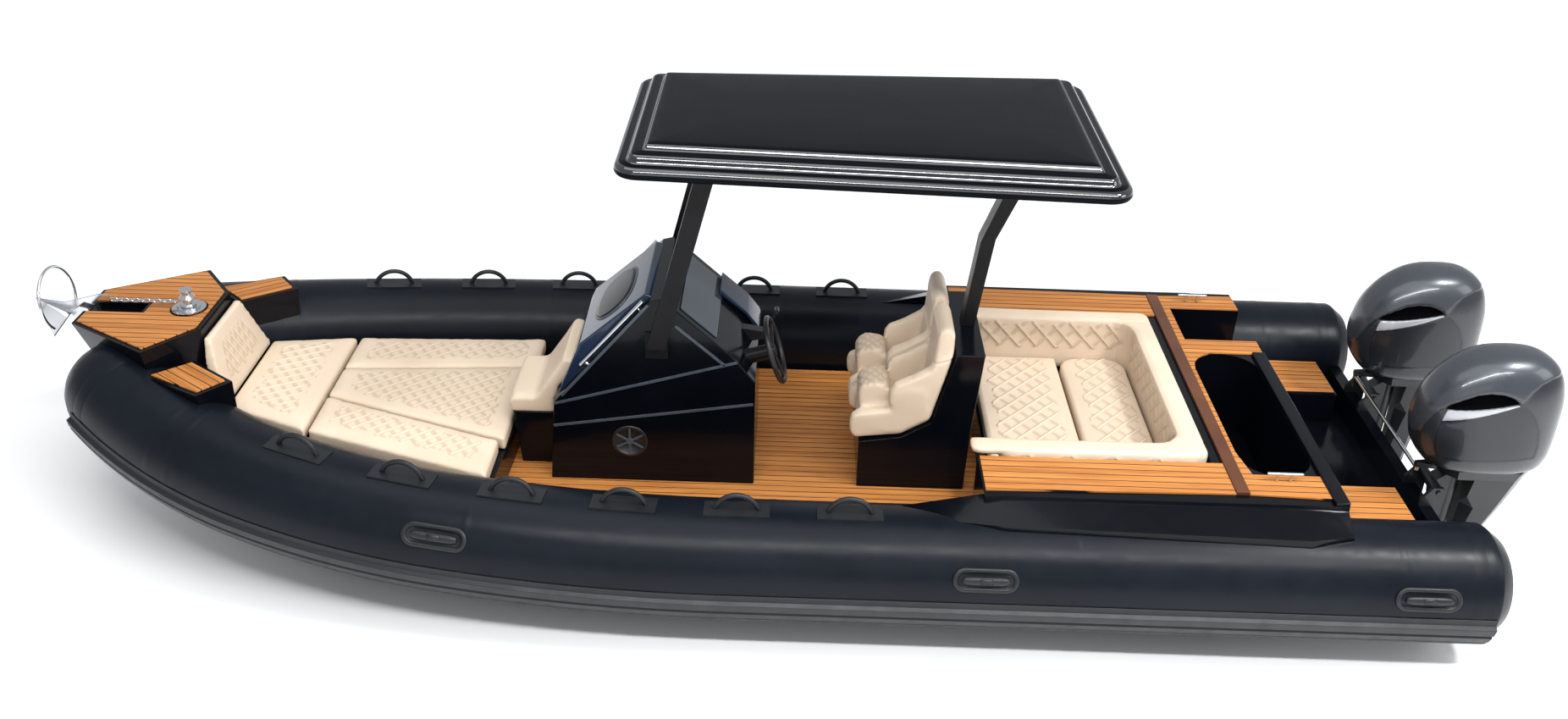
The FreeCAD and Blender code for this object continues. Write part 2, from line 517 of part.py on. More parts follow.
def swivel_bracket(y):
    sleeve = rod((tilt_x, y - 94, tilt_z), (tilt_x, y + 94, tilt_z), 30)
    neck = side_plate([(tilt_x - 5, tilt_z + 28), (tilt_x - 5, tilt_z - 28), (steer_x + 20, SWIVEL_FOOT), (steer_x, SWIVEL_FOOT),
                       (steer_x, SWIVEL_TOP), (steer_x + 30, SWIVEL_TOP)], y - 42, y + 42)
    housing = rod((steer_x, y, SWIVEL_FOOT), (steer_x, y, SWIVEL_TOP), 46)
    tilt_bore = rod((tilt_x, y - 100, tilt_z), (tilt_x, y + 100, tilt_z), PIN + 0.05)
    steer_bore = rod((steer_x, y, 0), (steer_x, y, 900), 20.05)
    return fused([sleeve, neck, housing]).cut(tilt_bore).cut(steer_bore)


def ring_section(z, front, back, half_width):
    """Eight-sided level outline of the engine between two lengths."""
    nib = half_width * 0.55
    return [(front, -nib * 0.7, z), (front, nib * 0.7, z), (front - nib, half_width, z), (back + nib, half_width, z),
            (back, nib, z), (back, -nib, z), (back + nib, -half_width, z), (front - nib, -half_width, z)]


# Cowl levels as (z, front x, back x, half width), then those of the leg under it.
COWL = [(700, -3450, -4050, 165), (760, -3412, -4085, 198), (900, -3345, -4090, 216), (1100, -3348, -4075, 216),
        (1250, -3405, -4010, 190), (1340, -3505, -3930, 135), (1386, -3625, -3830, 70)]
LEG = [(700, -3520, -4020, 150), (640, -3545, -4000, 130), (430, -3720, -3940, 95), (250, -3720, -3880, 70), (90, -3720, -3870, 50),
       (-120, -3710, -3860, 36), (-300, -3700, -3860, 28)]


def gearcase(y):
    """The engine's leg from the cowl down to the propeller shaft, with the arm that steers it."""
    prop_x, prop_z = size("propeller_x"), size("propeller_z")
    leg = loft([ring_section(*s) for s in LEG])
    leg.translate(Vector(0, y, 0))
    room = side_plate([(-3000, 20), (steer_x - 60, 20), (steer_x - 60, SWIVEL_TOP + 11), (-3000, SWIVEL_TOP + 11)], y - 300, y + 300)
    leg = leg.cut(room)
    stem = rod((steer_x, y, SWIVEL_TOP + 40), (steer_x, y, 60), 20)
    arm = slab([(steer_x - 90, y - 60), (steer_x - 90, y + 60), (steer_x + 30, y + 45), (size("tie_bar_x") + 14, y + 14),
                (size("tie_bar_x") + 14, y - 14), (steer_x + 30, y - 45)], SWIVEL_TOP + 11, SWIVEL_TOP + 37)
    arm_pin = rod((size("tie_bar_x"), y, SWIVEL_TOP + 15), (size("tie_bar_x"), y, size("tie_bar_z") - 18), size("tie_pin_radius"))
    low_mount = slab([(steer_x + 35, y - 45), (steer_x + 35, y + 45), (steer_x - 110, y + 45), (steer_x - 110, y - 45)], 50, SWIVEL_FOOT - 8)
    torpedo = rod((prop_x + 400, y, prop_z), (prop_x + 52, y, prop_z), 52)
    nose_cone = Part.makeCone(12, 52, 85, Vector(prop_x + 485, y, prop_z), Vector(-1, 0, 0))
    skeg = side_plate([(prop_x + 370, prop_z - 30), (prop_x + 110, prop_z - 30), (prop_x + 100, prop_z - 190), (prop_x + 170, prop_z - 190)], y - 7, y + 7)
    strut = side_plate([(-3690, -250), (prop_x + 410, prop_z), (prop_x + 90, prop_z), (-3880, -250)], y - 22, y + 22)
    plate = slab([(-3640, y - 30), (-3700, y - 85), (-4090, y - 105), (-4090, y + 105), (-3700, y + 85), (-3640, y + 30)], -240, -230)
    shaft = rod((prop_x + 55, y, prop_z), (prop_x - 65, y, prop_z), 12)
    return fused([leg, stem, arm, arm_pin, low_mount, torpedo, nose_cone, skeg, strut, plate, shaft])


def propeller(y, twist):
    """A tapered hub with flat-backed blades set at a pitch angle."""
    prop_x, prop_z = size("propeller_x"), size("propeller_z")
    hub = Part.makeCone(50, 38, 92, Vector(prop_x + 46, y, prop_z), Vector(-1, 0, 0))
    blades = []
    for number in range(int(size("blade_count"))):
        blade = Part.makeBox(14, 90, size("propeller_radius") - 20, Vector(-7, -45, 20))
        blade.rotate(Vector(0, 0, 0), Vector(0, 0, 1), twist)
        blade = blade.common(Part.makeCylinder(size("propeller_radius"), 200, Vector(-100, 0, 0), Vector(1, 0, 0)))
        blade.rotate(Vector(0, 0, 0), Vector(1, 0, 0), number * 360 / size("blade_count"))
        blade.translate(Vector(prop_x, y, prop_z))
        blades.append(blade)
    return fused([hub] + blades).cut(rod((prop_x + 70, y, prop_z), (prop_x - 80, y, prop_z), 12.05))


for word, y, twist in (("port", size("engine_half_gap"), 55), ("starboard", -size("engine_half_gap"), -55)):
    part("clamp_bracket_" + word, clamp_bracket(y))
    part("swivel_bracket_" + word, swivel_bracket(y))
    cowl = loft([ring_section(*s) for s in COWL])
    cowl.translate(Vector(0, y, 0))
    part("cowl_" + word, cowl)
    part("gearcase_" + word, gearcase(y).cut(cowl))
    part("propeller_" + word, propeller(y, twist))

# Tie bar between the two steering arms, with an eye on each arm's pin.
bar_x, bar_z, gap = size("tie_bar_x"), size("tie_bar_z"), size("engine_half_gap")
bar = rod((bar_x, 12 - gap, bar_z), (bar_x, gap - 12, bar_z), size("tie_bar_radius"))
eyes = [Part.makeCylinder(15, 20, Vector(bar_x, y, bar_z - 10)) for y in (gap, -gap)]
eye_bores = [Part.makeCylinder(size("tie_pin_radius") + clearance, 40, Vector(bar_x, y, bar_z - 20)) for y, clearance in ((gap, 0.05), (-gap, 2))]
part("tie_bar", fused([bar] + eyes).cut(Part.makeCompound(eye_bores)))

doc.recompute()

bad = [o.Name for o in doc.Objects if "Invalid" in o.State or "Error" in o.State]
bad += [s.Label for s in solids if s.Shape.isNull() or not s.Shape.isValid()]
if bad:
    raise SystemExit("failed objects: %s" % bad)
os.makedirs("parts", exist_ok=True)
for item in solids:
    item.Shape.exportStep("parts/%s.step" % item.Label)
    print("%-24s %8.4f m3 %3d faces %2d solids" % (item.Label, item.Shape.Volume / 1e9, len(item.Shape.Faces), len(item.Shape.Solids)))
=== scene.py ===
# %% [markdown]
# # Rigid inflatable boat
# The boat is 7.6 m on its tubes, seen from high on the port side in soft light on a white floor.
# Lengths are metres. The bow points along +X, port is +Y and up is +Z, with the water at z = 0.
# Each step first says what the real piece is, how it could be made here, and why it is made this way.

# %% Start from the measured boat
import math

import bmesh
import bpy
import numpy as np
from mathutils import Matrix, Vector


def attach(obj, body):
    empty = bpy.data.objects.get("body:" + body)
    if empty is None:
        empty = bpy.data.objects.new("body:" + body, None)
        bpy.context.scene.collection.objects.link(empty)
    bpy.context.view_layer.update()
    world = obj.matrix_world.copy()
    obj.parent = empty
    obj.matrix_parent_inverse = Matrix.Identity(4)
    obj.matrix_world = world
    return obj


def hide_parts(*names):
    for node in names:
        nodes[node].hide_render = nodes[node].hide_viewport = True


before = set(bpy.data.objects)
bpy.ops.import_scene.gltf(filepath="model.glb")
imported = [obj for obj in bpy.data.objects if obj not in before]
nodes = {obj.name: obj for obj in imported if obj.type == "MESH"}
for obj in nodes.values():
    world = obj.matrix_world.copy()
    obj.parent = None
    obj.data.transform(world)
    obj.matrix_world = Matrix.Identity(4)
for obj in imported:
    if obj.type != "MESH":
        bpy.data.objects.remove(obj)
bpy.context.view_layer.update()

# %% [markdown]
# ## Camera
# The photographer stood to port, well above the roof, and looked down by 30 degrees. The place,
# the angles and the lens follow from points that the boat has on both sides, since each pair is
# equally far from its middle plane.

# %% The photographer's place, angles and lens
PLACE = np.array([0.0081, 6.7343, 4.7865])
YAW, PITCH, ROLL = -0.0019, 0.5244, -0.0315
FOCAL_PIXELS = 1619.8
WIDTH = 1852
SENSOR = 36.0


def add_camera():
    """A camera whose axes are worked out from yaw, pitch and roll, then given as a matrix."""
    level = np.array([-math.sin(YAW), -math.cos(YAW), 0.0])
    right = np.array([-math.cos(YAW), math.sin(YAW), 0.0])
    upward = np.array([0.0, 0.0, 1.0])
    ahead = level * math.cos(PITCH) - upward * math.sin(PITCH)
    down = -(level * math.sin(PITCH) + upward * math.cos(PITCH))
    image_right = right * math.cos(ROLL) + down * math.sin(ROLL)
    image_down = -right * math.sin(ROLL) + down * math.cos(ROLL)
    data = bpy.data.cameras.new("photographer")
    data.sensor_width = SENSOR
    data.lens = SENSOR * FOCAL_PIXELS / WIDTH
    data.clip_end = 200.0
    camera = bpy.data.objects.new("photographer", data)
    bpy.context.collection.objects.link(camera)
    axes = np.array([image_right, -image_down, -ahead]).T
    rows = [[*row, place] for row, place in zip(axes, PLACE)]
    camera.matrix_world = Matrix(rows + [[0, 0, 0, 1]])
    bpy.context.scene.camera = camera
    return camera


camera = add_camera()
print("lens in mm:", round(camera.data.lens, 2))

# %% [markdown]
# ## Tools for meshes
# Curved pieces are written as grids: a whole array of points worked out from two parameters.
# One function turns any such grid into a mesh and closes it where it wraps. Others read and move
# the points of a mesh as whole arrays.

# %% Grids become meshes
def link_mesh(name, points, faces):
    """An object at the origin from arrays of points and faces."""
    mesh = bpy.data.meshes.new(name)
    mesh.from_pydata(points.tolist(), [], [tuple(face) for face in faces])
    mesh.validate()
    mesh.shade_smooth()
    piece = bpy.data.objects.new(name, mesh)
    bpy.context.collection.objects.link(piece)
    return piece


def grid_faces(rows, columns, wrap):
    """Corner numbers of the four-sided faces of a grid; wrap joins the last column to the first."""
    last = columns if wrap else columns - 1
    row, column = np.meshgrid(np.arange(rows - 1), np.arange(last), indexing="ij")
    here, there = row * columns, (row + 1) * columns
    beside = (column + 1) % columns
    corners = [here + column, here + beside, there + beside, there + column]
    return np.stack(corners, axis=-1).reshape(-1, 4)


def store(piece, name, values):
    """Keep a number or a triple for every vertex on the mesh, where a material can read it."""
    triple = values.shape[-1] == 3
    layer = piece.data.attributes.new(name, "FLOAT_VECTOR" if triple else "FLOAT", "POINT")
    layer.data.foreach_set("vector" if triple else "value", values.reshape(-1).astype(np.float32))


def grid_object(name, grid, wrap=True, cap=True):
    """A mesh of the grid of points (rows, columns, 3), with its ends capped if asked."""
    rows, columns = grid.shape[:2]
    faces = grid_faces(rows, columns, wrap).tolist()
    if cap:
        faces.append(list(range(columns))[::-1])
        faces.append(list(range((rows - 1) * columns, rows * columns)))
    return link_mesh(name, grid.reshape(-1, 3), faces)


NEAR = 1e-5


def outward(piece, merge=True):
    """Turn every face of a closed mesh outwards, after near doubles are merged if asked."""
    work = bmesh.new()
    work.from_mesh(piece.data)
    if merge:
        bmesh.ops.remove_doubles(work, verts=work.verts, dist=NEAR)
    bmesh.ops.recalc_face_normals(work, faces=work.faces)
    work.to_mesh(piece.data)
    work.free()
    return piece


def triples(items, what):
    """One value of three numbers for every vertex or face, as an array of shape (count, 3)."""
    values = np.empty(len(items) * 3, np.float32)
    items.foreach_get(what, values)
    return values.reshape(-1, 3)


def points_of(piece):
    """All vertices of a mesh as an array."""
    return triples(piece.data.vertices, "co").astype(float)


def normals_of(piece):
    """The smooth normal at every vertex, as an array."""
    return triples(piece.data.vertices, "normal").astype(float)


def set_points(piece, points):
    """Put every vertex of a mesh at its row of the array."""
    piece.data.vertices.foreach_set("co", points.astype(np.float32).reshape(-1))
    piece.data.update()
    return piece


def belongs(piece, finishes, body="boat", node=None):
    """Give a new piece its finishes, its body and the measured node it stands for."""
    for material in finishes:
        piece.data.materials.append(material)
    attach(piece, body)
    if node:
        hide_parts(node)


def smooth_step(low, high, value):
    """0 below low, 1 above high, and an S curve between them, on whole arrays."""
    share = np.clip((value - low) / (high - low), 0, 1)
    return share * share * (3 - 2 * share)


print("tools ready")

# %% [markdown]
# ## Materials
# Each material is a small network that reads Object coordinates. Colour and roughness vary a
# little over every surface, because no real one is quite even, and fine grain is done as bump.

# %% Parts of a material network
def new_material(name, roughness=0.5, metallic=0.0, specular=0.5, coat=0.0):
    """A material with one principled shader, its tree, and an Object coordinate to start from."""
    material = bpy.data.materials.new(name)
    material.use_nodes = True
    tree = material.node_tree
    shader = tree.nodes["Principled BSDF"]
    shader.inputs["Roughness"].default_value = roughness
    shader.inputs["Metallic"].default_value = metallic
    shader.inputs["Specular IOR Level"].default_value = specular
    shader.inputs["Coat Weight"].default_value = coat
    place = tree.nodes.new("ShaderNodeTexCoord").outputs["Object"]
    return material, tree, shader, place


def feed(tree, socket, value):
    """Join an output to this input, or set the input to a plain value."""
    if isinstance(value, bpy.types.NodeSocket):
        tree.links.new(value, socket)
    else:
        socket.default_value = value


def noise(tree, place, scale, detail=3.0, stretch=(1, 1, 1)):
    """A noise value from 0 to 1; stretch makes it longer along an axis when it is under 1."""
    spread = tree.nodes.new("ShaderNodeMapping")
    spread.inputs["Scale"].default_value = stretch
    tree.links.new(place, spread.inputs["Vector"])
    texture = tree.nodes.new("ShaderNodeTexNoise")
    texture.inputs["Scale"].default_value = scale
    texture.inputs["Detail"].default_value = detail
    tree.links.new(spread.outputs["Vector"], texture.inputs["Vector"])
    return texture.outputs["Fac"]


def between(tree, value, low, high, from_low=0.3, from_high=0.7):
    """A value moved from one range to another."""
    change = tree.nodes.new("ShaderNodeMapRange")
    change.inputs["From Min"].default_value = from_low
    change.inputs["From Max"].default_value = from_high
    change.inputs["To Min"].default_value = low
    change.inputs["To Max"].default_value = high
    tree.links.new(value, change.inputs["Value"])
    return change.outputs["Result"]


def sums(tree, operation, first, second=0.0, third=0.0):
    """One step of arithmetic on values or outputs."""
    step = tree.nodes.new("ShaderNodeMath")
    step.operation = operation
    for socket, value in zip(step.inputs, (first, second, third)):
        feed(tree, socket, value)
    return step.outputs["Value"]


def mix(tree, share, first, second):
    """A colour between two colours."""
    blender = tree.nodes.new("ShaderNodeMix")
    blender.data_type = "RGBA"
    feed(tree, blender.inputs["Factor"], share)
    for socket, colour in ((blender.inputs["A"], first), (blender.inputs["B"], second)):
        feed(tree, socket, colour if isinstance(colour, bpy.types.NodeSocket) else (*colour, 1))
    return blender.outputs["Result"]


def bump(tree, shader, height, strength, distance):
    """Small relief from a height; one bump is chained after another on the same shader."""
    relief = tree.nodes.new("ShaderNodeBump")
    relief.inputs["Strength"].default_value = strength
    relief.inputs["Distance"].default_value = distance
    tree.links.new(height, relief.inputs["Height"])
    before = shader.inputs["Normal"].links
    if before:
        tree.links.new(before[0].from_socket, relief.inputs["Normal"])
    tree.links.new(relief.outputs["Normal"], shader.inputs["Normal"])


PATCH_SCALE, ROUGH_SCALE = 3.0, 12.0
GRAIN_DEPTH = 0.0006


def plain_material(name, dark, light, rough, metallic=0.0, specular=0.5, coat=0.0, grain=0.0,
                   grain_scale=300.0):
    """Most finishes: two near colours mixed in soft patches, uneven roughness, and optional grain."""
    material, tree, shader, place = new_material(name, metallic=metallic, specular=specular, coat=coat)
    patches = between(tree, noise(tree, place, PATCH_SCALE), 0, 1)
    tree.links.new(mix(tree, patches, dark, light), shader.inputs["Base Color"])
    uneven = between(tree, noise(tree, place, ROUGH_SCALE), rough * 0.85, rough * 1.15)
    tree.links.new(uneven, shader.inputs["Roughness"])
    if grain:
        bump(tree, shader, noise(tree, place, grain_scale, 2.0), grain, GRAIN_DEPTH)
    return material


def stored(tree, name, output="Fac"):
    """A value that a piece keeps on its own points."""
    attribute = tree.nodes.new("ShaderNodeAttribute")
    attribute.attribute_name = name
    return attribute.outputs[output]


print("networks ready")

# %% The finishes of the boat
FABRIC = plain_material("coated tube fabric", (0.0038, 0.0054, 0.0088), (0.0058, 0.0080, 0.0125),
                        0.34, specular=0.15, grain=0.2, grain_scale=520)
RUBBER = plain_material("moulded black rubber", (0.006, 0.007, 0.009), (0.010, 0.011, 0.014),
                        0.45, specular=0.4, grain=0.15)
GELCOAT = plain_material("glossy black gelcoat", (0.0018, 0.0023, 0.0038), (0.0026, 0.0034, 0.0056),
                         0.15, specular=0.14, coat=0.06)
ROOF_FLAT = plain_material("black hardtop", (0.0012, 0.0016, 0.0028), (0.0018, 0.0024, 0.0040),
                           0.24, specular=0.05)
# The turned rows of the hardtop take a glossier, lighter copy of its black: the lighter colour is a
# painted highlight along the tier edges.
ROOF_EDGE_PAINTED_HIGHLIGHT = plain_material("glossy hardtop edge with painted highlight", (0.003, 0.004, 0.006), (0.004, 0.005, 0.008),
                           0.10, specular=0.8, coat=0.8)
NAVY = plain_material("glossy navy gelcoat", (0.010, 0.020, 0.045), (0.014, 0.027, 0.060),
                      0.14, specular=0.35, coat=0.2)
GLASS = plain_material("dark dash glass", (0.030, 0.042, 0.058), (0.038, 0.052, 0.070),
                       0.10, specular=0.5, coat=0.3)
# Grey trim for the hatch frame and vent blades; on the console's ribs the same grey is a painted
# highlight along their edges.
GREY_TRIM_AND_RIB_HIGHLIGHT = plain_material("grey trim and painted rib highlight", (0.045, 0.056, 0.072), (0.060, 0.072, 0.090), 0.3, specular=0.4)
PAINT = plain_material("black painted metal", (0.004, 0.004, 0.005), (0.006, 0.006, 0.007),
                       0.33, specular=0.16, grain=0.1)
PLASTIC = plain_material("satin black plastic", (0.009, 0.009, 0.010), (0.014, 0.014, 0.016),
                         0.36, specular=0.45, grain=0.2)
STEEL = plain_material("polished steel", (0.62, 0.63, 0.65), (0.72, 0.73, 0.75), 0.16, metallic=1.0)
PROPELLER = plain_material("cast propeller steel", (0.30, 0.30, 0.31), (0.42, 0.42, 0.43),
                           0.32, metallic=1.0, grain=0.3)
ENGINE = plain_material("dark engine metal", (0.010, 0.011, 0.014), (0.016, 0.018, 0.021),
                        0.40, metallic=0.3, coat=0.2)


def leather_material():
    """Cream vinyl with fine pebble grain; the sewn ribs get a painted highlight on top and painted
    shade beside.
    """
    material, tree, shader, place = new_material("cream seat vinyl", roughness=0.46, specular=0.42)
    patches = between(tree, noise(tree, place, 2.4), 0, 1)
    colour = mix(tree, patches, (0.645, 0.515, 0.385), (0.715, 0.585, 0.450))
    rib = stored(tree, "rib")
    below_top = sums(tree, "SUBTRACT", 1.0, rib)
    # Painted shade: the flanks of each rib are darkened towards brown.
    painted_shade_beside_rib = sums(tree, "MULTIPLY", sums(tree, "MULTIPLY", rib, below_top), 2.4)
    colour = mix(tree, painted_shade_beside_rib, colour, (0.40, 0.275, 0.175))
    # Painted highlight: the top of each rib is lightened.
    painted_highlight_on_rib = sums(tree, "MULTIPLY", rib, sums(tree, "MULTIPLY", rib, 0.6))
    colour = mix(tree, painted_highlight_on_rib, colour, (0.86, 0.76, 0.62))
    tree.links.new(colour, shader.inputs["Base Color"])
    tree.links.new(between(tree, noise(tree, place, 30), 0.40, 0.52), shader.inputs["Roughness"])
    bump(tree, shader, noise(tree, place, 420, 2.0), 0.25, 0.0008)
    return material


def teak_material(name, across, along, pitch=0.050, seam=0.1):
    """Teak planks side by side along one direction, with black caulking between them.

    The place is measured across the planks; its whole part numbers the plank, and its rest tells
    how far it is to the caulking. Grain is noise that is long along the plank."""
    material, tree, shader, place = new_material(name, roughness=0.5, specular=0.3)

    def measure(direction):
        step = tree.nodes.new("ShaderNodeVectorMath")
        step.operation = "DOT_PRODUCT"
        tree.links.new(place, step.inputs[0])
        step.inputs[1].default_value = Vector(direction).normalized()
        return step.outputs["Value"]

    side, length = measure(across), measure(along)
    count = sums(tree, "DIVIDE", side, pitch)
    rest = sums(tree, "FRACT", count)
    from_seam = sums(tree, "MINIMUM", rest, sums(tree, "SUBTRACT", 1.0, rest))
    wood = between(tree, from_seam, 0, 1, seam / 2 - 0.012, seam / 2 + 0.012)
    plank = tree.nodes.new("ShaderNodeTexWhiteNoise")
    plank.noise_dimensions = "1D"
    tree.links.new(sums(tree, "FLOOR", count), plank.inputs["W"])
    spot = tree.nodes.new("ShaderNodeCombineXYZ")
    tree.links.new(length, spot.inputs["X"])
    tree.links.new(side, spot.inputs["Y"])
    tree.links.new(sums(tree, "MULTIPLY", plank.outputs["Value"], 7.0), spot.inputs["Z"])
    grain = noise(tree, spot.outputs["Vector"], 34, 4.0, (0.07, 1.6, 1))
    streak = noise(tree, spot.outputs["Vector"], 120, 2.0, (0.03, 1.5, 1))
    own_tone = sums(tree, "MULTIPLY", plank.outputs["Value"], 0.35)
    tone = sums(tree, "ADD", between(tree, grain, 0, 0.75), own_tone)
    timber = mix(tree, tone, (0.33, 0.112, 0.022), (0.58, 0.240, 0.062))
    timber = mix(tree, between(tree, streak, 0, 0.35, 0.55, 0.8), timber, (0.16, 0.05, 0.012))
    tree.links.new(mix(tree, wood, (0.006, 0.005, 0.005), timber), shader.inputs["Base Color"])
    bump(tree, shader, wood, 0.6, 0.002)
    bump(tree, shader, streak, 0.15, 0.0006)
    return material


VINYL = leather_material()
TEAK = teak_material("teak planks fore and aft", (0, 1, 0), (1, 0, 0))
TEAK_PORT = teak_material("teak of the port step", (0.578, 0.816, 0), (-0.816, 0.578, 0))
TEAK_STARBOARD = teak_material("teak of the starboard step", (0.578, -0.816, 0), (-0.816, -0.578, 0))
TEAK_END = teak_material("teak of the tube ends", (0, 0, 1), (0, 1, 0), pitch=0.083, seam=0.09)
BROWN = plain_material("dark varnished wood", (0.075, 0.024, 0.009), (0.115, 0.040, 0.015),
                       0.3, specular=0.4, grain=0.2, grain_scale=90)
print("finishes:", len(bpy.data.materials))

# %% [markdown]
# ## Pieces that keep their measured shape
# Moulded decks, brackets, rails and legs are plain shapes that are right already. What they lack
# is a soft edge, since a sharp one catches no light. A weld joins the loose triangles, a bevel
# rounds each edge, and weighted normals keep the flat faces flat in the shading.

# %% Rounded edges and a finish
def dress(name, material, round_edge=0.004, angle=28.0):
    """Give a measured piece clean rounded edges and its finish."""
    piece = nodes[name]
    piece.data.materials.clear()
    piece.data.materials.append(material)
    piece.data.shade_smooth()
    weld = piece.modifiers.new("weld", "WELD")
    weld.merge_threshold = 2 * NEAR
    if round_edge:
        bevel = piece.modifiers.new("rounded edges", "BEVEL")
        bevel.width = round_edge
        bevel.segments = 2
        bevel.limit_method = "ANGLE"
        bevel.angle_limit = math.radians(angle)
        bevel.miter_outer = "MITER_ARC"
    shading = piece.modifiers.new("even shading", "WEIGHTED_NORMAL")
    shading.keep_sharp = True
    return piece


KEPT = [
    (RUBBER, 0.002, ["rub_strakes", "tube_handles"]),
    (GELCOAT, 0.006, ["hull", "bow_deck", "lounge_base", "console", "console_seat_base", "leaning_post",
                      "stern_deck", "transom_beam"]),
    (PAINT, 0.003, ["roof_legs_front", "roof_leg_rear", "helm_column"]),
    (PLASTIC, 0.0015, ["throttle", "steering_wheel"]),
    (STEEL, 0.001, ["anchor_roller", "anchor", "windlass_base", "windlass_drum", "console_rails",
                    "cleats", "tie_bar"]),
    (STEEL, 0, ["anchor_chain"]),
    (ENGINE, 0.003, ["clamp_bracket_port", "clamp_bracket_starboard", "swivel_bracket_port",
                     "swivel_bracket_starboard", "gearcase_port", "gearcase_starboard"]),
    (PROPELLER, 0.0015, ["propeller_port", "propeller_starboard"]),
    (TEAK, 0.002, ["bow_teak", "floor_teak", "stern_teak"]),
    (TEAK_END, 0.002, ["tube_end_pads"]),
    (BROWN, 0.002, ["cross_strip"]),
]
for material, round_edge, names in KEPT:
    for name in names:
        dress(name, material, round_edge)
print("not dressed:", sorted(name for name in nodes if not nodes[name].data.materials))


STEP_TOP = 1.03


def finish_steps():
    """The two small bow steps carry planks at an angle, so their faces get other materials."""
    data = nodes["bow_teak"].data
    data.materials.append(TEAK_PORT)
    data.materials.append(TEAK_STARBOARD)
    centres = triples(data.polygons, "center")
    step = centres[:, 2] < STEP_TOP
    index = np.where(step, np.where(centres[:, 1] > 0, 1, 2), 0)
    data.polygons.foreach_set("material_index", index.astype(np.int32))


finish_steps()

# %% [markdown]
# ## Seats and pads
# The real pads are foam under vinyl that is sewn tight: flat tops, soft round edges, and a quilted
# field in the middle. A copy of each measured solid is rounded, cut into even cells, and blown up
# a little by a cloth simulation. How far a point may move is capped, so that each pad stays in the
# space of its solid. The raised quilting ribs are added afterwards, because they are finer than
# the cells that the cloth needs.
#
# The two helm seats are bucket seats: a flat seat, a tall barrel under the thighs, and a back whose
# sides come forward as arms. Each is built from closed plates, and cells melt them into one skin.

# %% Closed plates, and the form of a helm seat
def plate(outline, low, high, axes="xz"):
    """Points and faces of a closed plate: an outline in two axes, carried along the third."""
    third = ({0, 1, 2} - {"xyz".index(letter) for letter in axes}).pop()
    points = np.zeros((2 * len(outline), 3))
    for number, letter in enumerate(axes):
        points[:, "xyz".index(letter)] = np.tile(np.array(outline)[:, number], 2)
    points[:, third] = np.repeat([low, high], len(outline))
    count = len(outline)
    faces = [list(range(count))[::-1], list(range(count, 2 * count))]
    faces += [[a, (a + 1) % count, count + (a + 1) % count, count + a] for a in range(count)]
    return points, faces


def joined(name, plates):
    """One object from several closed plates, each with its faces outwards."""
    points, faces, start = [], [], 0
    for corners, sides in plates:
        points.append(corners)
        faces += [[start + corner for corner in side] for side in sides]
        start += len(corners)
    piece = link_mesh(name, np.concatenate(points), faces)
    return outward(piece, merge=False)


# Outlines seen from the side, as (x, z).
SEAT_ARM = [(-0.375, 0.616), (-0.350, 0.650), (-0.345, 0.715), (-0.355, 0.765), (-0.390, 0.785),
            (-0.565, 0.812), (-0.552, 0.860), (-0.560, 0.920), (-0.592, 0.965), (-0.678, 1.008),
            (-0.762, 1.060), (-0.815, 1.130), (-0.895, 1.180), (-0.880, 1.090), (-0.800, 0.745),
            (-0.640, 0.648)]
SEAT_BACK = [(-0.700, 0.735), (-0.770, 0.940), (-0.790, 1.200), (-0.792, 1.290), (-0.820, 1.328),
             (-0.862, 1.322), (-0.890, 1.275), (-0.893, 1.170), (-0.870, 1.050), (-0.800, 0.760)]
SEAT_PAD = [(-0.392, 0.618), (-0.385, 0.735), (-0.420, 0.755), (-0.720, 0.755), (-0.770, 0.740),
            (-0.640, 0.650)]
SEAT_BARREL = [(-0.396, 0.750), (-0.386, 0.860), (-0.405, 0.915), (-0.450, 0.935), (-0.520, 0.932),
               (-0.562, 0.905), (-0.574, 0.850), (-0.566, 0.750)]
# Each plate reaches across the seat from one place to another, measured from its middle.
SEAT_PLATES = [(SEAT_ARM, -0.183, -0.111), (SEAT_ARM, 0.111, 0.183), (SEAT_PAD, -0.112, 0.112),
               (SEAT_BARREL, -0.108, 0.108), (SEAT_BACK, -0.172, 0.172)]


def helm_seat(name, middle):
    """Two arms, a pad, a barrel and a back, each a closed plate."""
    plates = [plate(outline, middle + low, middle + high) for outline, low, high in SEAT_PLATES]
    return joined(name + "_form", plates)


HELM_MIDDLES = {"helm_seat_port": 0.192, "helm_seat_starboard": -0.192}
FORMS = {name: helm_seat(name, middle) for name, middle in HELM_MIDDLES.items()}
print("seat forms:", sorted(FORMS))

# %% From a measured solid to an even skin
CROWN, SIDE_SWELL = 0.009, 0.003
SHRINK = 0.004


def applied(piece):
    """Make every modifier's result the mesh itself."""
    seen = piece.evaluated_get(bpy.context.evaluated_depsgraph_get())
    mesh = bpy.data.meshes.new_from_object(seen)
    piece.modifiers.clear()
    piece.data = mesh
    return piece


def above_base(normals):
    """0 on faces that look down at the base, 1 everywhere else, with a soft step between."""
    return smooth_step(-0.8, -0.5, normals[:, 2])


def raise_by(piece, relief):
    """Move every point along its normal."""
    return set_points(piece, points_of(piece) + normals_of(piece) * relief[:, None])


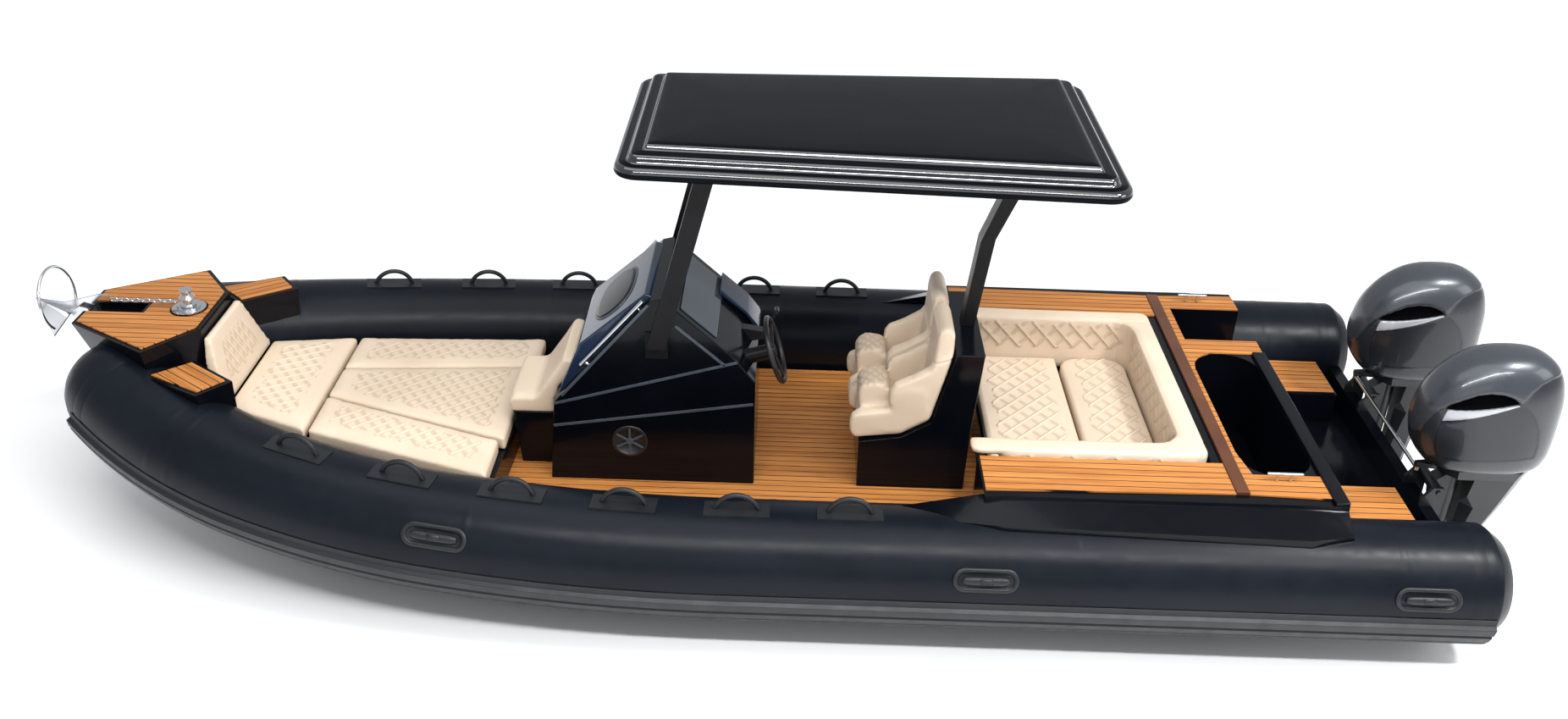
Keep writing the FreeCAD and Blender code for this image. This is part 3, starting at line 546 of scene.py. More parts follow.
def soft_skin(name, cell, rounding):
    """A copy of a measured solid with round corners and even cells, a little smaller all round.

    The underside isn't drawn in, so that the pad still lies on its base."""
    source = FORMS.get(name, nodes[name])
    mesh = source.data.copy()
    mesh.materials.clear()
    if name in FORMS:
        bpy.data.objects.remove(source)
    work = bmesh.new()
    work.from_mesh(mesh)
    bmesh.ops.remove_doubles(work, verts=work.verts, dist=NEAR)
    bmesh.ops.dissolve_limit(work, angle_limit=0.01, verts=work.verts, edges=work.edges)
    work.to_mesh(mesh)
    work.free()
    piece = bpy.data.objects.new(name + "_soft", mesh)
    bpy.context.collection.objects.link(piece)
    corner = piece.modifiers.new("corners", "BEVEL")
    corner.width = rounding
    corner.segments = 3
    corner.limit_method = "ANGLE"
    corner.angle_limit = math.radians(35)
    cells = piece.modifiers.new("cells", "REMESH")
    cells.mode = "VOXEL"
    cells.voxel_size = cell
    cells.use_smooth_shade = True
    even = piece.modifiers.new("even", "SMOOTH")
    even.factor = 0.5
    even.iterations = 3
    applied(piece)
    return raise_by(piece, -SHRINK * above_base(normals_of(piece)))


# %% A little air under the vinyl
CLOTH_STEPS = 20


def blow_up(pads):
    """Simulate all the pads at once as cloth under pressure, and cap how far each point moves."""
    starts = {}
    for piece in pads:
        starts[piece.name] = (points_of(piece), normals_of(piece))
        cloth = piece.modifiers.new("cloth", "CLOTH")
        cloth.settings.quality = 3
        cloth.settings.mass = 0.4
        cloth.settings.tension_stiffness = 12
        cloth.settings.compression_stiffness = 12
        cloth.settings.shear_stiffness = 6
        cloth.settings.bending_stiffness = 1.5
        cloth.settings.use_pressure = True
        cloth.settings.uniform_pressure_force = 4
        cloth.settings.effector_weights.gravity = 0
    for step in range(1, CLOTH_STEPS + 1):
        bpy.context.scene.frame_set(step)
    shapes = bpy.context.evaluated_depsgraph_get()
    for piece in pads:
        start, normals = starts[piece.name]
        blown = bpy.data.meshes.new_from_object(piece.evaluated_get(shapes))
        moved = triples(blown.vertices, "co") - start
        upward = smooth_step(0.3, 0.9, normals[:, 2])
        cap = (SIDE_SWELL + (CROWN - SIDE_SWELL) * upward) * above_base(normals)
        length = np.linalg.norm(moved, axis=1)
        share = np.minimum(1, cap / np.maximum(length, 1e-9))
        piece.modifiers.clear()
        set_points(piece, start + moved * share[:, None])
        print(piece.name, "swelled by up to mm:", round(float((length * share).max()) * 1000, 1))
    bpy.context.scene.frame_set(1)


# %% Raised quilting
RIB_WIDTH, RIB_HEIGHT = 0.0085, 0.0085
BOLSTER_RIB = 0.004
RAGGED = 0.018


def depth_inside(u, v, corners):
    """How far inside a convex outline each point is: the least distance to its edges."""
    corners = np.array(corners, float)
    following = np.roll(corners, -1, axis=0)
    area = np.sum(corners[:, 0] * following[:, 1] - following[:, 0] * corners[:, 1])
    depth = np.full(u.shape, np.inf)
    for here, there in zip(corners, following):
        along = (there - here) / np.linalg.norm(there - here) * np.sign(area)
        depth = np.minimum(depth, along[0] * (v - here[1]) - along[1] * (u - here[0]))
    return depth


def quilting(u, v, corners, pitch, first_angle, second_angle, height=RIB_HEIGHT):
    """Ribs in two crossing directions inside an outline, as a height over the pad.

    A rib's profile is a bell: exp(-(distance / width) squared). The ribs of a family are numbered,
    and every second one stops a little sooner, so the field ends raggedly as sewn ribs do."""
    inside = depth_inside(u, v, corners)
    relief = np.zeros(u.shape)
    for angle, share in ((first_angle, 1.0), (second_angle, 0.6)):
        turn = math.radians(angle)
        across = -u * math.sin(turn) + v * math.cos(turn)
        number = np.round(across / pitch)
        away = across - number * pitch
        ragged = np.where(number % 2 == 0, 0.0, RAGGED)
        ends = smooth_step(-0.004, 0.004, inside - ragged)
        relief = np.maximum(relief, share * height * np.exp(-(away / RIB_WIDTH) ** 2) * ends)
    return relief


def groove(distance, depth, width):
    """A sewn seam: a narrow valley at distance 0."""
    return -depth * np.exp(-(distance / width) ** 2)


print("quilting ready")

# %% The pads of the boat
BOW_ANGLES, BOW_PITCH = (47, -52), 0.064
SOFA_ANGLES, SOFA_PITCH = (47, -54), 0.083
# The quilted field on the top of each pad: its corners, the ribs' pitch and their two angles.
TOP_FIELDS = {
    "bow_cushion_front": ([(2.985, 0.29), (2.71, 0.42), (2.71, -0.42), (2.985, -0.29)],
                          BOW_PITCH, (38, -51)),
    "bow_cushion_middle": ([(2.49, 0.10), (1.655, 0.315), (1.655, -0.315), (2.49, -0.10)],
                           BOW_PITCH, BOW_ANGLES),
    "bow_cushion_port": ([(2.50, 0.25), (2.50, 0.45), (1.67, 0.655), (1.67, 0.46)],
                         BOW_PITCH, BOW_ANGLES),
    "bow_cushion_starboard": ([(2.50, -0.25), (2.50, -0.45), (1.60, -0.665), (1.60, -0.47)],
                              BOW_PITCH, BOW_ANGLES),
    "sofa_seat_front": ([(-1.20, -0.60), (-1.58, -0.60), (-1.58, 0.60), (-1.20, 0.60)],
                        SOFA_PITCH, SOFA_ANGLES),
    "sofa_seat_aft": ([(-1.745, -0.65), (-2.03, -0.65), (-2.03, 0.65), (-1.745, 0.65)],
                      SOFA_PITCH, SOFA_ANGLES),
}
BACK_FIELD = [(-0.22, 0.76), (0.22, 0.76), (0.15, 0.97), (-0.15, 0.97)]
SOFA_SIDE_FIELD = [(-1.16, 0.655), (-1.16, 0.83), (-2.06, 0.83), (-2.06, 0.655)]
SOFA_AFT_FIELD = [(-0.55, 0.655), (-0.55, 0.83), (0.55, 0.83), (0.55, 0.655)]
BOLSTER_FIELD = [(-0.10, 0.03), (0.10, 0.03), (0.10, 0.30), (-0.10, 0.30)]
# The cell and the rounding of the pads that don't have the usual ones.
USUAL_CELL, USUAL_ROUNDING = 0.013, 0.016
CELLS = {"helm_seat_port": 0.012, "helm_seat_starboard": 0.012, "console_seat": 0.014,
         "sofa_back": 0.015, "sofa_seat_front": 0.0125}
ROUNDING = {"helm_seat_port": 0.026, "helm_seat_starboard": 0.026, "console_seat": 0.03,
            "bow_backrest": 0.028, "sofa_back": 0.03}


def facing(turned):
    """1 where the surface looks along a direction, 0 where it turns away from it."""
    return smooth_step(0.6, 0.85, turned)


def relief_of(name, points, normals):
    """The quilting and seams of one pad, at its own points."""
    x, y, z = points.T
    relief = np.zeros(len(points))
    if name in TOP_FIELDS:
        corners, pitch, (first, second) = TOP_FIELDS[name]
        relief = quilting(x, y, corners, pitch, first, second) * facing(normals[:, 2])
    if name == "bow_backrest":
        relief = quilting(y, z, BACK_FIELD, 0.052, 66, -66) * facing(-normals[:, 0])
    if name == "sofa_back":
        sides = quilting(x, z, SOFA_SIDE_FIELD, SOFA_PITCH, 47, -47)
        relief = sides * (facing(normals[:, 1]) + facing(-normals[:, 1]))
        aft = facing(normals[:, 0]) * (x < -1.9)
        relief += quilting(y, z, SOFA_AFT_FIELD, SOFA_PITCH, 47, -47) * aft
        relief += groove(np.abs(y) - 0.655, 0.006, 0.006) * (x < -2.02)
    if name in HELM_MIDDLES:
        across = y - HELM_MIDDLES[name]
        around = np.arctan2(z - 0.82, x + 0.48) * 0.11
        on_bolster = (x > -0.60) & (z > 0.84) & (np.abs(across) < 0.105)
        relief += quilting(across, around, BOLSTER_FIELD, 0.042, 35, -35, BOLSTER_RIB) * on_bolster
        relief += groove(z + 0.35 * (x + 0.85) - 1.12, 0.004, 0.005) * (x < -0.60)
    return relief


def upholster(names):
    """Blow up the pads, divide them once, raise their ribs, and let each stand for its solid."""
    pads = [soft_skin(name, CELLS.get(name, USUAL_CELL), ROUNDING.get(name, USUAL_ROUNDING))
            for name in names]
    blow_up(pads)
    for name, piece in zip(names, pads):
        fine = piece.modifiers.new("fine", "SUBSURF")
        fine.levels = 1
        fine.render_levels = 1
        applied(piece)
        relief = relief_of(name, points_of(piece), normals_of(piece))
        raise_by(piece, relief)
        # The rib height is kept for the vinyl's painted highlight on the ribs and painted shade beside
        # them.
        store(piece, "rib", np.clip(relief / RIB_HEIGHT, 0, 1))
        piece.data.shade_smooth()
        belongs(piece, [VINYL], node=name)
        print(name, "faces:", len(piece.data.polygons))


upholster(["bow_cushion_front", "bow_cushion_middle", "bow_cushion_port", "bow_cushion_starboard",
           "bow_backrest", "console_seat", "helm_seat_port", "helm_seat_starboard", "sofa_back",
           "sofa_seat_front", "sofa_seat_aft"])

# %% [markdown]
# ## Buoyancy tubes
# Each tube is sewn and glued from coated fabric: a straight level run, a bend to the nose, a
# cap at each end, and tapes over the joints. The measured solid is right in outline, but a
# surface worked out on a grid also gives the tapes with their soft edges and the smooth nose.

# %% The line that the tube follows
TUBE_RADIUS = 0.295
TUBE_SIDE, TUBE_LEVEL = 1.2, 0.42
TUBE_AFT, BEND_START = -3.520, 0.300
TILT = math.radians(20)
TUBE_ARCS = [(10.0, math.radians(8)), (5.0, math.radians(20)), (2.9, math.radians(42))]
ALONG = np.array([1.0, 0.0, 0.0])
INBOARD = np.array([0.0, -math.cos(TILT), math.sin(TILT)])
UPRIGHT = np.array([0.0, math.sin(TILT), math.cos(TILT)])
ARC_STARTS = [0.0] + [end for _, end in TUBE_ARCS]
BOW_LENGTH = sum(radius * (end - start) for (radius, end), start in zip(TUBE_ARCS, ARC_STARTS))


def tube_line(distance):
    """Centre and forward direction at distances from the start of the bend.

    Before the bend the line is level and straight. After it, the line follows arc after arc: on an
    arc of radius r, with heading h from h0, it moves r (sin h - sin h0) along and
    r (cos h0 - cos h) inboard."""
    distance = np.asarray(distance, float)
    ahead = np.minimum(distance, 0.0)
    inboard = np.zeros_like(distance)
    heading = np.zeros_like(distance)
    start, first = 0.0, 0.0
    for radius, last in TUBE_ARCS:
        turn = first + np.clip((distance - start) / radius, 0, last - first)
        ahead = ahead + radius * (np.sin(turn) - math.sin(first))
        inboard = inboard + radius * (math.cos(first) - np.cos(turn))
        heading = np.where(distance > start, turn, heading)
        start += radius * (last - first)
        first = last
    start_of_bend = np.array([BEND_START, TUBE_SIDE, TUBE_LEVEL])
    centre = start_of_bend + ahead[:, None] * ALONG + inboard[:, None] * INBOARD
    forward = np.cos(heading)[:, None] * ALONG + np.sin(heading)[:, None] * INBOARD
    return centre, forward


def tube_points(distance, angle, rise):
    """Points round the tube: centre + (outboard cos a + upward sin a) (radius + rise).

    The angle is measured up from straight outboard on the level run, and all arrays have one shape."""
    shape = distance.shape
    centre, forward = tube_line(distance.reshape(-1))
    outboard = np.cross(UPRIGHT, forward)
    outboard /= np.linalg.norm(outboard, axis=1)[:, None]
    turn = angle.reshape(-1) + TILT
    spoke = outboard * np.cos(turn)[:, None] + UPRIGHT * np.sin(turn)[:, None]
    return (centre + spoke * (TUBE_RADIUS + rise.reshape(-1))[:, None]).reshape(*shape, 3)


# %% The tubes' fabric with its tapes
# Each tape is (distance of its middle from the start of the bend, half width, thickness).
TAPES = [(-3.72, 0.030, 0.0016), (-3.35, 0.024, 0.0012), (-1.75, 0.024, 0.0012), (-0.25, 0.024, 0.0012),
         (1.25, 0.024, 0.0012), (BOW_LENGTH - 0.72, 0.024, 0.0014), (BOW_LENGTH - 0.60, 0.024, 0.0014),
         (BOW_LENGTH - 0.06, 0.028, 0.0018)]
TUBE_COLUMNS = 72
TAPE_EDGE, TAPE_DIP, DIP_WIDTH = 0.004, 0.0012, 0.012
# The aft cap, row by row: (distance from the centre line, place along X from the tube's end).
AFT_CAP = [(0.2935, -0.004), (0.290, -0.010), (0.263, -0.044), (0.241, -0.073), (0.234, -0.079),
           (0.20, -0.0797), (0.10, -0.0798)]
NOSE_LEANS = np.radians([12, 24, 36, 48, 60, 70, 79, 86])
ROW_SPACING = 0.035
# Extra rows near each edge of a tape.
NEAR_TAPE = np.array([-0.008, -0.003, 0.001, 0.005, 0.012])


def tape_rise(distance):
    """A flat raised band with soft edges at each tape, and a narrow dip along each of its edges."""
    rise = np.zeros_like(distance)
    for middle, half, thick in TAPES:
        away = np.abs(distance - middle)
        rise = np.maximum(rise, thick * (1 - smooth_step(half, half + TAPE_EDGE, away)))
        rise -= TAPE_DIP * np.exp(-((away - half) / DIP_WIDTH) ** 2)
    return rise


def tube_grid():
    """Rows go from the aft cap along the tube and over the round nose; columns go round it."""
    aft = TUBE_AFT - BEND_START
    spacing = [np.arange(aft, BOW_LENGTH, ROW_SPACING)]
    for middle, half, _ in TAPES:
        spacing += [middle - half + NEAR_TAPE, middle + half + NEAR_TAPE]
    distance = np.unique(np.round(np.concatenate(spacing), 4))
    distance = distance[(distance >= aft) & (distance <= BOW_LENGTH)]
    angle = np.linspace(0, 2 * math.pi, TUBE_COLUMNS, endpoint=False)
    run, turn = np.meshgrid(distance, angle, indexing="ij")
    body = tube_points(run, turn, tape_rise(run))
    centre, forward = tube_line(np.array([BOW_LENGTH]))
    ring = tube_points(np.full(TUBE_COLUMNS, BOW_LENGTH), angle, np.zeros(TUBE_COLUMNS)) - centre
    lean = NOSE_LEANS[:, None, None]
    nose = centre + ring * np.cos(lean) + forward * TUBE_RADIUS * np.sin(lean)
    out, back = np.array(AFT_CAP[::-1]).T[..., None]
    across, upward = TUBE_SIDE + out * np.cos(angle), TUBE_LEVEL + out * np.sin(angle)
    cap = np.stack([TUBE_AFT + back + 0 * across, across, upward], axis=-1)
    return np.concatenate([cap, body, nose])


def add_tubes():
    """The port tube from the grid, and the starboard one as its mirror image."""
    rows = tube_grid()
    for side, name in ((1, "tube_port"), (-1, "tube_starboard")):
        piece = grid_object(name + "_fabric", rows * np.array([1, side, 1]))
        outward(piece)
        piece.data.shade_smooth()
        belongs(piece, [FABRIC], node=name)
        print(name, "points:", len(piece.data.vertices))


add_tubes()

# %% [markdown]
# ## Side handles
# Three moulded rubber handles sit on the outer side of each tube: a stadium-shaped rim, a dark
# hollow in it, and a grip across. They are laid on the tube by its own formula, so they bend with it.

# %% Rims, hollows and grips on the tubes
# Each handle is (distance of its middle from the start of the bend, degrees up from outboard).
SIDE_HANDLES = [(1.39, 31), (-1.30, 23), (-3.46, 18)]
HANDLE_HALVES = (0.165, 0.064)
GRIP_REACH, GRIP_THICK = 0.115, 0.017
# The rim, from its outer edge inwards: (distance from the edge, height over the tube).
RIM_STEPS = [(0.000, 0.001), (0.003, 0.009), (0.009, 0.014), (0.018, 0.014), (0.024, 0.011),
             (0.028, 0.004), (0.030, 0.0015), (0.045, 0.0012), (0.062, 0.0012)]


def on_tube(place, angle, along, around, rise):
    """Points at small distances along and round the port tube from a spot of its skin."""
    turn = math.radians(angle) + around / TUBE_RADIUS
    return tube_points(place + along, turn, rise)


def stadium(half_length, half_width, offset):
    """An outline moved inwards: two half circles of radius (half width - offset), and straights."""
    turn = np.linspace(0, 2 * math.pi, 72, endpoint=False)
    straight = half_length - half_width
    along = np.cos(turn) * (half_width - offset) + np.sign(np.cos(turn)) * straight
    return along, np.sin(turn) * (half_width - offset)


def side_handle(number, place, angle, side):
    """The rim with its hollow, and the grip, mirrored for the starboard tube."""
    rows = []
    for offset, rise in RIM_STEPS:
        along, around = stadium(*HANDLE_HALVES, offset)
        rows.append(on_tube(place, angle, along, around, np.full(along.shape, rise)))
    mirror = np.array([1, side, 1])
    rim = grid_object("handle_rim_%d" % number, np.array(rows) * mirror)
    turn = np.linspace(0, 2 * math.pi, 16, endpoint=False)
    run, spin = np.meshgrid(np.linspace(-1, 1, 15), turn, indexing="ij")
    thick = GRIP_THICK * (1 - 0.35 * np.abs(run) ** 6)
    across, height = np.cos(spin) * thick * 1.25, 0.012 + np.sin(spin) * thick
    bar = on_tube(place, angle, run * GRIP_REACH, across, height)
    grip = grid_object("handle_grip_%d" % number, bar * mirror)
    tab_run = np.array([-0.03, 0.03, 0.03, -0.03])
    tab_side = np.array([-0.012, -0.012, 0.012, 0.012])
    foot = on_tube(place, angle, tab_run * 1.1, tab_side * 1.15, np.full(4, 0.020))
    top = on_tube(place, angle, tab_run, tab_side, np.full(4, 0.0315))
    tab = grid_object("handle_tab_%d" % number, np.array([foot, top]) * mirror)
    for piece in (rim, grip, tab):
        outward(piece)
        belongs(piece, [RUBBER])


for number, (place, angle) in enumerate(SIDE_HANDLES):
    side_handle(number, place, angle, 1)
    side_handle(number + 3, place, angle, -1)
print("side handles:", 2 * len(SIDE_HANDLES))

# %% [markdown]
# ## Engine cowls
# A cowl is two mouldings of painted plastic: a tray, and a cap with a lighter hood, a crescent
# intake on each side, a bright lip under it and a flat side panel. The whole shape is one grid of
# level rings; how far each point lies from the mouldings' edges is stored on the mesh, and both the
# relief and the material use it, so every edge is crisp at any distance.

# %% The form of a cowl
# Level rings as (z, fore x, aft x, half width).
COWL_RINGS = [(0.700, -3.462, -4.052, 0.158), (0.712, -3.445, -4.062, 0.172),
              (0.745, -3.415, -4.078, 0.190), (0.800, -3.378, -4.088, 0.206),
              (0.860, -3.358, -4.090, 0.213), (0.950, -3.348, -4.088, 0.215),
              (1.060, -3.362, -4.082, 0.214), (1.130, -3.386, -4.074, 0.210),
              (1.190, -3.420, -4.060, 0.201), (1.245, -3.462, -4.040, 0.186),
              (1.290, -3.510, -4.012, 0.166), (1.328, -3.562, -3.974, 0.138),
              (1.356, -3.622, -3.926, 0.102), (1.372, -3.678, -3.880, 0.064),
              (1.380, -3.740, -3.818, 0.022)]
# The hood's lower edge as (x, z), and the side panel's aft edge as (z, x).
HOOD_EDGE = [(-4.20, 1.292), (-4.00, 1.292), (-3.92, 1.288), (-3.86, 1.268), (-3.815, 1.228),
             (-3.775, 1.168), (-3.745, 1.190), (-3.71, 1.207), (-3.665, 1.218), (-3.61, 1.216),
             (-3.55, 1.198), (-3.49, 1.160), (-3.44, 1.115), (-3.41, 1.075), (-3.385, 1.020),
             (-3.365, 0.950), (-3.352, 0.870), (-3.33, 0.700)]
AFT_EDGE = [(0.70, -3.92), (0.80, -3.945), (0.90, -3.942), (1.00, -3.915), (1.08, -3.872),
            (1.13, -3.825), (1.172, -3.775), (1.30, -3.60)]
INTAKE_AFT, INTAKE_LEVEL = -3.77, 1.166
COWL_FULLNESS = 2.5
HOOD_RISE, INTAKE_DEPTH, PANEL_DEPTH, LIP_RISE = 0.005, 0.024, 0.003, 0.002


def smooth_rows(table, count):
    """A smooth curve through the rows of a table, in as many even steps as asked.

    Between two rows it follows the cubic whose slopes come from the rows on both sides."""
    rows = np.array(table, float)
    slopes = np.gradient(rows, axis=0)
    place = np.linspace(0, len(rows) - 1, count)
    first = np.minimum(place.astype(int), len(rows) - 2)
    t = (place - first)[:, None]
    start, end = rows[first], rows[first + 1]
    return ((2 * t**3 - 3 * t**2 + 1) * start + (t**3 - 2 * t**2 + t) * slopes[first]
            + (3 * t**2 - 2 * t**3) * end + (t**3 - t**2) * slopes[first + 1])


def along_table(table, value):
    """The second column of a table at values of the first."""
    table = np.array(sorted(table))
    return np.interp(value, table[:, 0], table[:, 1])


def cowl_zones(x, y, z):
    """How far inside each moulding a point is, in metres: hood, crescent, side panel and lip.

    Each is the least of the distances to the lines that bound it. The intake's floor falls
    forwards, and the lip under it grows wider forwards."""
    edge = along_table(HOOD_EDGE, x)
    forward = np.clip(x - INTAKE_AFT, 0, 0.42)
    intake_floor = INTAKE_LEVEL - 0.23 * forward
    lip_foot = intake_floor - 0.012 - 0.16 * forward
    panel_foot = 0.795 + 0.03 * np.clip((-3.5 - x) / 0.4, 0, 1)
    front = np.where(x > -3.52, np.abs(y) - 0.150, 0.1)
    aft = x - along_table(AFT_EDGE, z)
    crescent = np.minimum.reduce([z - intake_floor, edge - 0.007 - z, x - INTAKE_AFT])
    lip = np.minimum.reduce([intake_floor - 0.004 - z, z - lip_foot, front, x - INTAKE_AFT - 0.002,
                             edge - 0.012 - z])
    panel = np.minimum.reduce([lip_foot - z, z - panel_foot, front, aft, edge - 0.014 - z])
    return z - edge, crescent, panel, lip


def cowl_grid(middle):
    """Rings that are fuller than ellipses, then the relief of the mouldings outwards.

    A ring is x = middle + reach |cos a|^(2 / fullness) and y = half |sin a|^(2 / fullness), each
    with the sign of its cosine or sine."""
    rows = smooth_rows(COWL_RINGS, 115)
    turn = np.linspace(0, 2 * math.pi, 200, endpoint=False)
    power = 2 / COWL_FULLNESS
    c, s = np.cos(turn), np.sin(turn)
    level, fore, aft, half = (rows[:, number][:, None] for number in range(4))
    x = (fore + aft) / 2 + (fore - aft) / 2 * np.sign(c) * np.abs(c) ** power
    y = half * np.sign(s) * np.abs(s) ** power
    z = level + 0 * x
    hood, crescent, panel, lip = cowl_zones(x, y, z)
    rise = HOOD_RISE * smooth_step(-0.002, 0.004, hood)
    rise -= INTAKE_DEPTH * smooth_step(0.0, 0.010, crescent)
    rise -= PANEL_DEPTH * smooth_step(-0.001, 0.003, panel)
    rise += LIP_RISE * smooth_step(0, 0.004, lip)
    out = np.stack([(x - (fore + aft) / 2) * 0.25, y, 0 * y], axis=-1)
    out /= np.maximum(np.linalg.norm(out, axis=-1, keepdims=True), 1e-6)
    grid = np.stack([x, y, z], axis=-1) + out * rise[..., None]
    return grid + np.array([0, middle, 0]), np.stack([hood, crescent, panel], axis=-1), lip


def cowl_material():
    """Metallic paint whose colour follows the stored distances, with dark gaps between mouldings and
    painted shade in the crescent intake.
    """
    material, tree, shader, place = new_material("painted cowl")
    apart = tree.nodes.new("ShaderNodeSeparateXYZ")
    tree.links.new(stored(tree, "zones", "Vector"), apart.inputs["Vector"])
    hood, crescent, panel = (apart.outputs[axis] for axis in "XYZ")
    lip = stored(tree, "lip")

    def inside(value):
        return between(tree, value, 0, 1, -0.0008, 0.0008)

    def gap(value, width):
        return between(tree, sums(tree, "ABSOLUTE", value), 1, 0, width * 0.6, width)

    patches = between(tree, noise(tree, place, PATCH_SCALE), 0, 1)
    colour = mix(tree, patches, (0.022, 0.024, 0.029), (0.027, 0.030, 0.035))
    colour = mix(tree, inside(hood), colour, (0.046, 0.051, 0.061))
    colour = mix(tree, inside(panel), colour, (0.015, 0.016, 0.020))
    colour = mix(tree, inside(lip), colour, (0.44, 0.45, 0.48))
    # Painted shade: the crescent intake is made near black.
    colour = mix(tree, inside(crescent), colour, (0.002, 0.002, 0.0025))
    colour = mix(tree, sums(tree, "MULTIPLY", gap(panel, 0.0022), 0.85), colour, (0.004, 0.004, 0.005))
    colour = mix(tree, sums(tree, "MULTIPLY", gap(hood, 0.0018), 0.7), colour, (0.006, 0.006, 0.008))
    tree.links.new(colour, shader.inputs["Base Color"])
    # The intake also loses all gloss, so that it reads as the painted shade of an opening.
    shell = sums(tree, "SUBTRACT", 1.0, inside(crescent))
    tree.links.new(sums(tree, "MULTIPLY", shell, 0.30), shader.inputs["Metallic"])
    tree.links.new(sums(tree, "MULTIPLY", shell, 0.35), shader.inputs["Coat Weight"])
    tree.links.new(sums(tree, "MULTIPLY", shell, 0.45), shader.inputs["Specular IOR Level"])
    uneven = between(tree, noise(tree, place, 5), 0.26, 0.30)
    duller = sums(tree, "MULTIPLY", inside(panel), 0.12)
    tree.links.new(sums(tree, "ADD", uneven, duller), shader.inputs["Roughness"])
    return material


PAINTED_COWL = cowl_material()


def add_cowl(side, middle):
    """One cowl in place of its measured solid."""
    grid, zones, lip = cowl_grid(middle)
    piece = grid_object("cowl_" + side + "_shell", grid)
    store(piece, "zones", zones)
    store(piece, "lip", lip)
    outward(piece, merge=False)
    belongs(piece, [PAINTED_COWL], body="outboard_" + side, node="cowl_" + side)
    print("cowl", side, "faces:", len(piece.data.polygons))


ENGINE_SIDE = 0.487
add_cowl("port", ENGINE_SIDE)
add_cowl("starboard", -ENGINE_SIDE)

# %% [markdown]
# ## Hardtop
# The hardtop is one glossy moulding in three shallow tiers. Its rounded outline is repeated row by
# row, each row drawn inwards and lifted, from the underside round the lip and over both steps.

# %% The three tiers from one outline
ROOF_CORNERS = [(0.870, 0.690), (-1.610, 0.810), (-1.610, -0.810), (0.870, -0.690)]
CORNER_RADIUS, LEAST_RADIUS = 0.13, 0.012
# Each row is (how far it is drawn inwards, its level).
ROOF_ROWS = [(0.300, 2.252), (0.040, 2.250), (0.020, 2.240), (0.006, 2.244), (0.000, 2.254),
             (0.001, 2.272), (0.006, 2.286), (0.014, 2.294), (0.026, 2.299), (0.060, 2.303),
             (0.068, 2.309), (0.072, 2.322), (0.078, 2.334), (0.088, 2.340), (0.104, 2.343),
             (0.138, 2.345), (0.147, 2.350), (0.152, 2.360), (0.159, 2.370), (0.172, 2.375),
             (0.200, 2.377), (0.300, 2.379), (0.420, 2.381), (0.560, 2.382)]


def rounded_outline(corners, radius, offset, corner_steps=12, side_steps=14):
    """Points round a four-sided outline with round corners, all moved inwards by an offset.

    A corner's arc has its centre on the line that halves the corner, where a circle of that radius
    touches both sides, and its radius shrinks by the offset down to a least one."""
    spots = np.array(corners, float)
    loop = []
    for number in range(4):
        before, here, after = spots[number - 1], spots[number], spots[(number + 1) % 4]
        back = (before - here) / np.linalg.norm(before - here)
        on = (after - here) / np.linalg.norm(after - here)
        middle = (back + on) / np.linalg.norm(back + on)
        half_angle = math.acos(np.clip(back.dot(on), -1, 1)) / 2
        centre = here + middle * (radius / math.sin(half_angle))
        keep = max(radius - offset, LEAST_RADIUS)
        centre = centre + middle * ((offset - (radius - keep)) / math.sin(half_angle))
        normal_back = -(middle - back * middle.dot(back))
        normal_on = -(middle - on * middle.dot(on))
        first = math.atan2(normal_back[1], normal_back[0])
        last = math.atan2(normal_on[1], normal_on[0])
        sweep = (last - first + math.pi) % (2 * math.pi) - math.pi
        turn = first + sweep * np.linspace(0, 1, corner_steps)
        loop.append(centre + keep * np.stack([np.cos(turn), np.sin(turn)], axis=-1))
    outline = []
    for number in range(4):
        here, after = loop[number], loop[(number + 1) % 4]
        share = np.linspace(0, 1, side_steps + 2)[1:-1, None]
        outline += [here, here[-1] * (1 - share) + after[0] * share]
    return np.concatenate(outline)


def add_roof():
    """The rows of the outline as one grid, with a glossier and lighter finish where the surface turns;
    the lighter colour is a painted highlight.
    """
    rows = []
    for offset, level in ROOF_ROWS:
        outline = rounded_outline(ROOF_CORNERS, CORNER_RADIUS, offset)
        rows.append(np.column_stack([outline, np.full(len(outline), level)]))
    piece = grid_object("roof_moulding", np.array(rows))
    outward(piece)
    belongs(piece, [ROOF_FLAT, ROOF_EDGE_PAINTED_HIGHLIGHT], node="roof")
    upward = triples(piece.data.polygons, "normal")[:, 2]
    turned = (upward > 0.25) & (upward < 0.93)
    piece.data.polygons.foreach_set("material_index", turned.astype(np.int32))
    print("roof faces:", len(piece.data.polygons))


add_roof()

# %% [markdown]
# ## Console fittings
# The console carries a proud navy wedge in front with a dark oval hatch, a glass panel and a raised
# shelf on its dash, thin ribs along its sides and a round vent. They are closed plates with
# bevelled edges, fixed to the console where the real mouldings are.

# %% Wedge, hatch, dash, ribs and vents
def fitted(name, plates, material, round_edge):
    """Closed plates as one bevelled piece that belongs to the boat."""
    piece = joined(name, plates)
    bevel = piece.modifiers.new("rounded edges", "BEVEL")
    bevel.width = round_edge
    bevel.segments = 2
    bevel.limit_method = "ANGLE"
    even = piece.modifiers.new("even shading", "WEIGHTED_NORMAL")
    even.keep_sharp = True
    belongs(piece, [material])


def band(start, end, half, low, high):
    """A straight band of one width between two places (x, z), as a plate."""
    start, end = np.array(start, float), np.array(end, float)
    along = (end - start) / np.linalg.norm(end - start)
    side = np.array([-along[1], along[0]]) * half
    return plate([start + side, end + side, end - side, start - side], low, high)


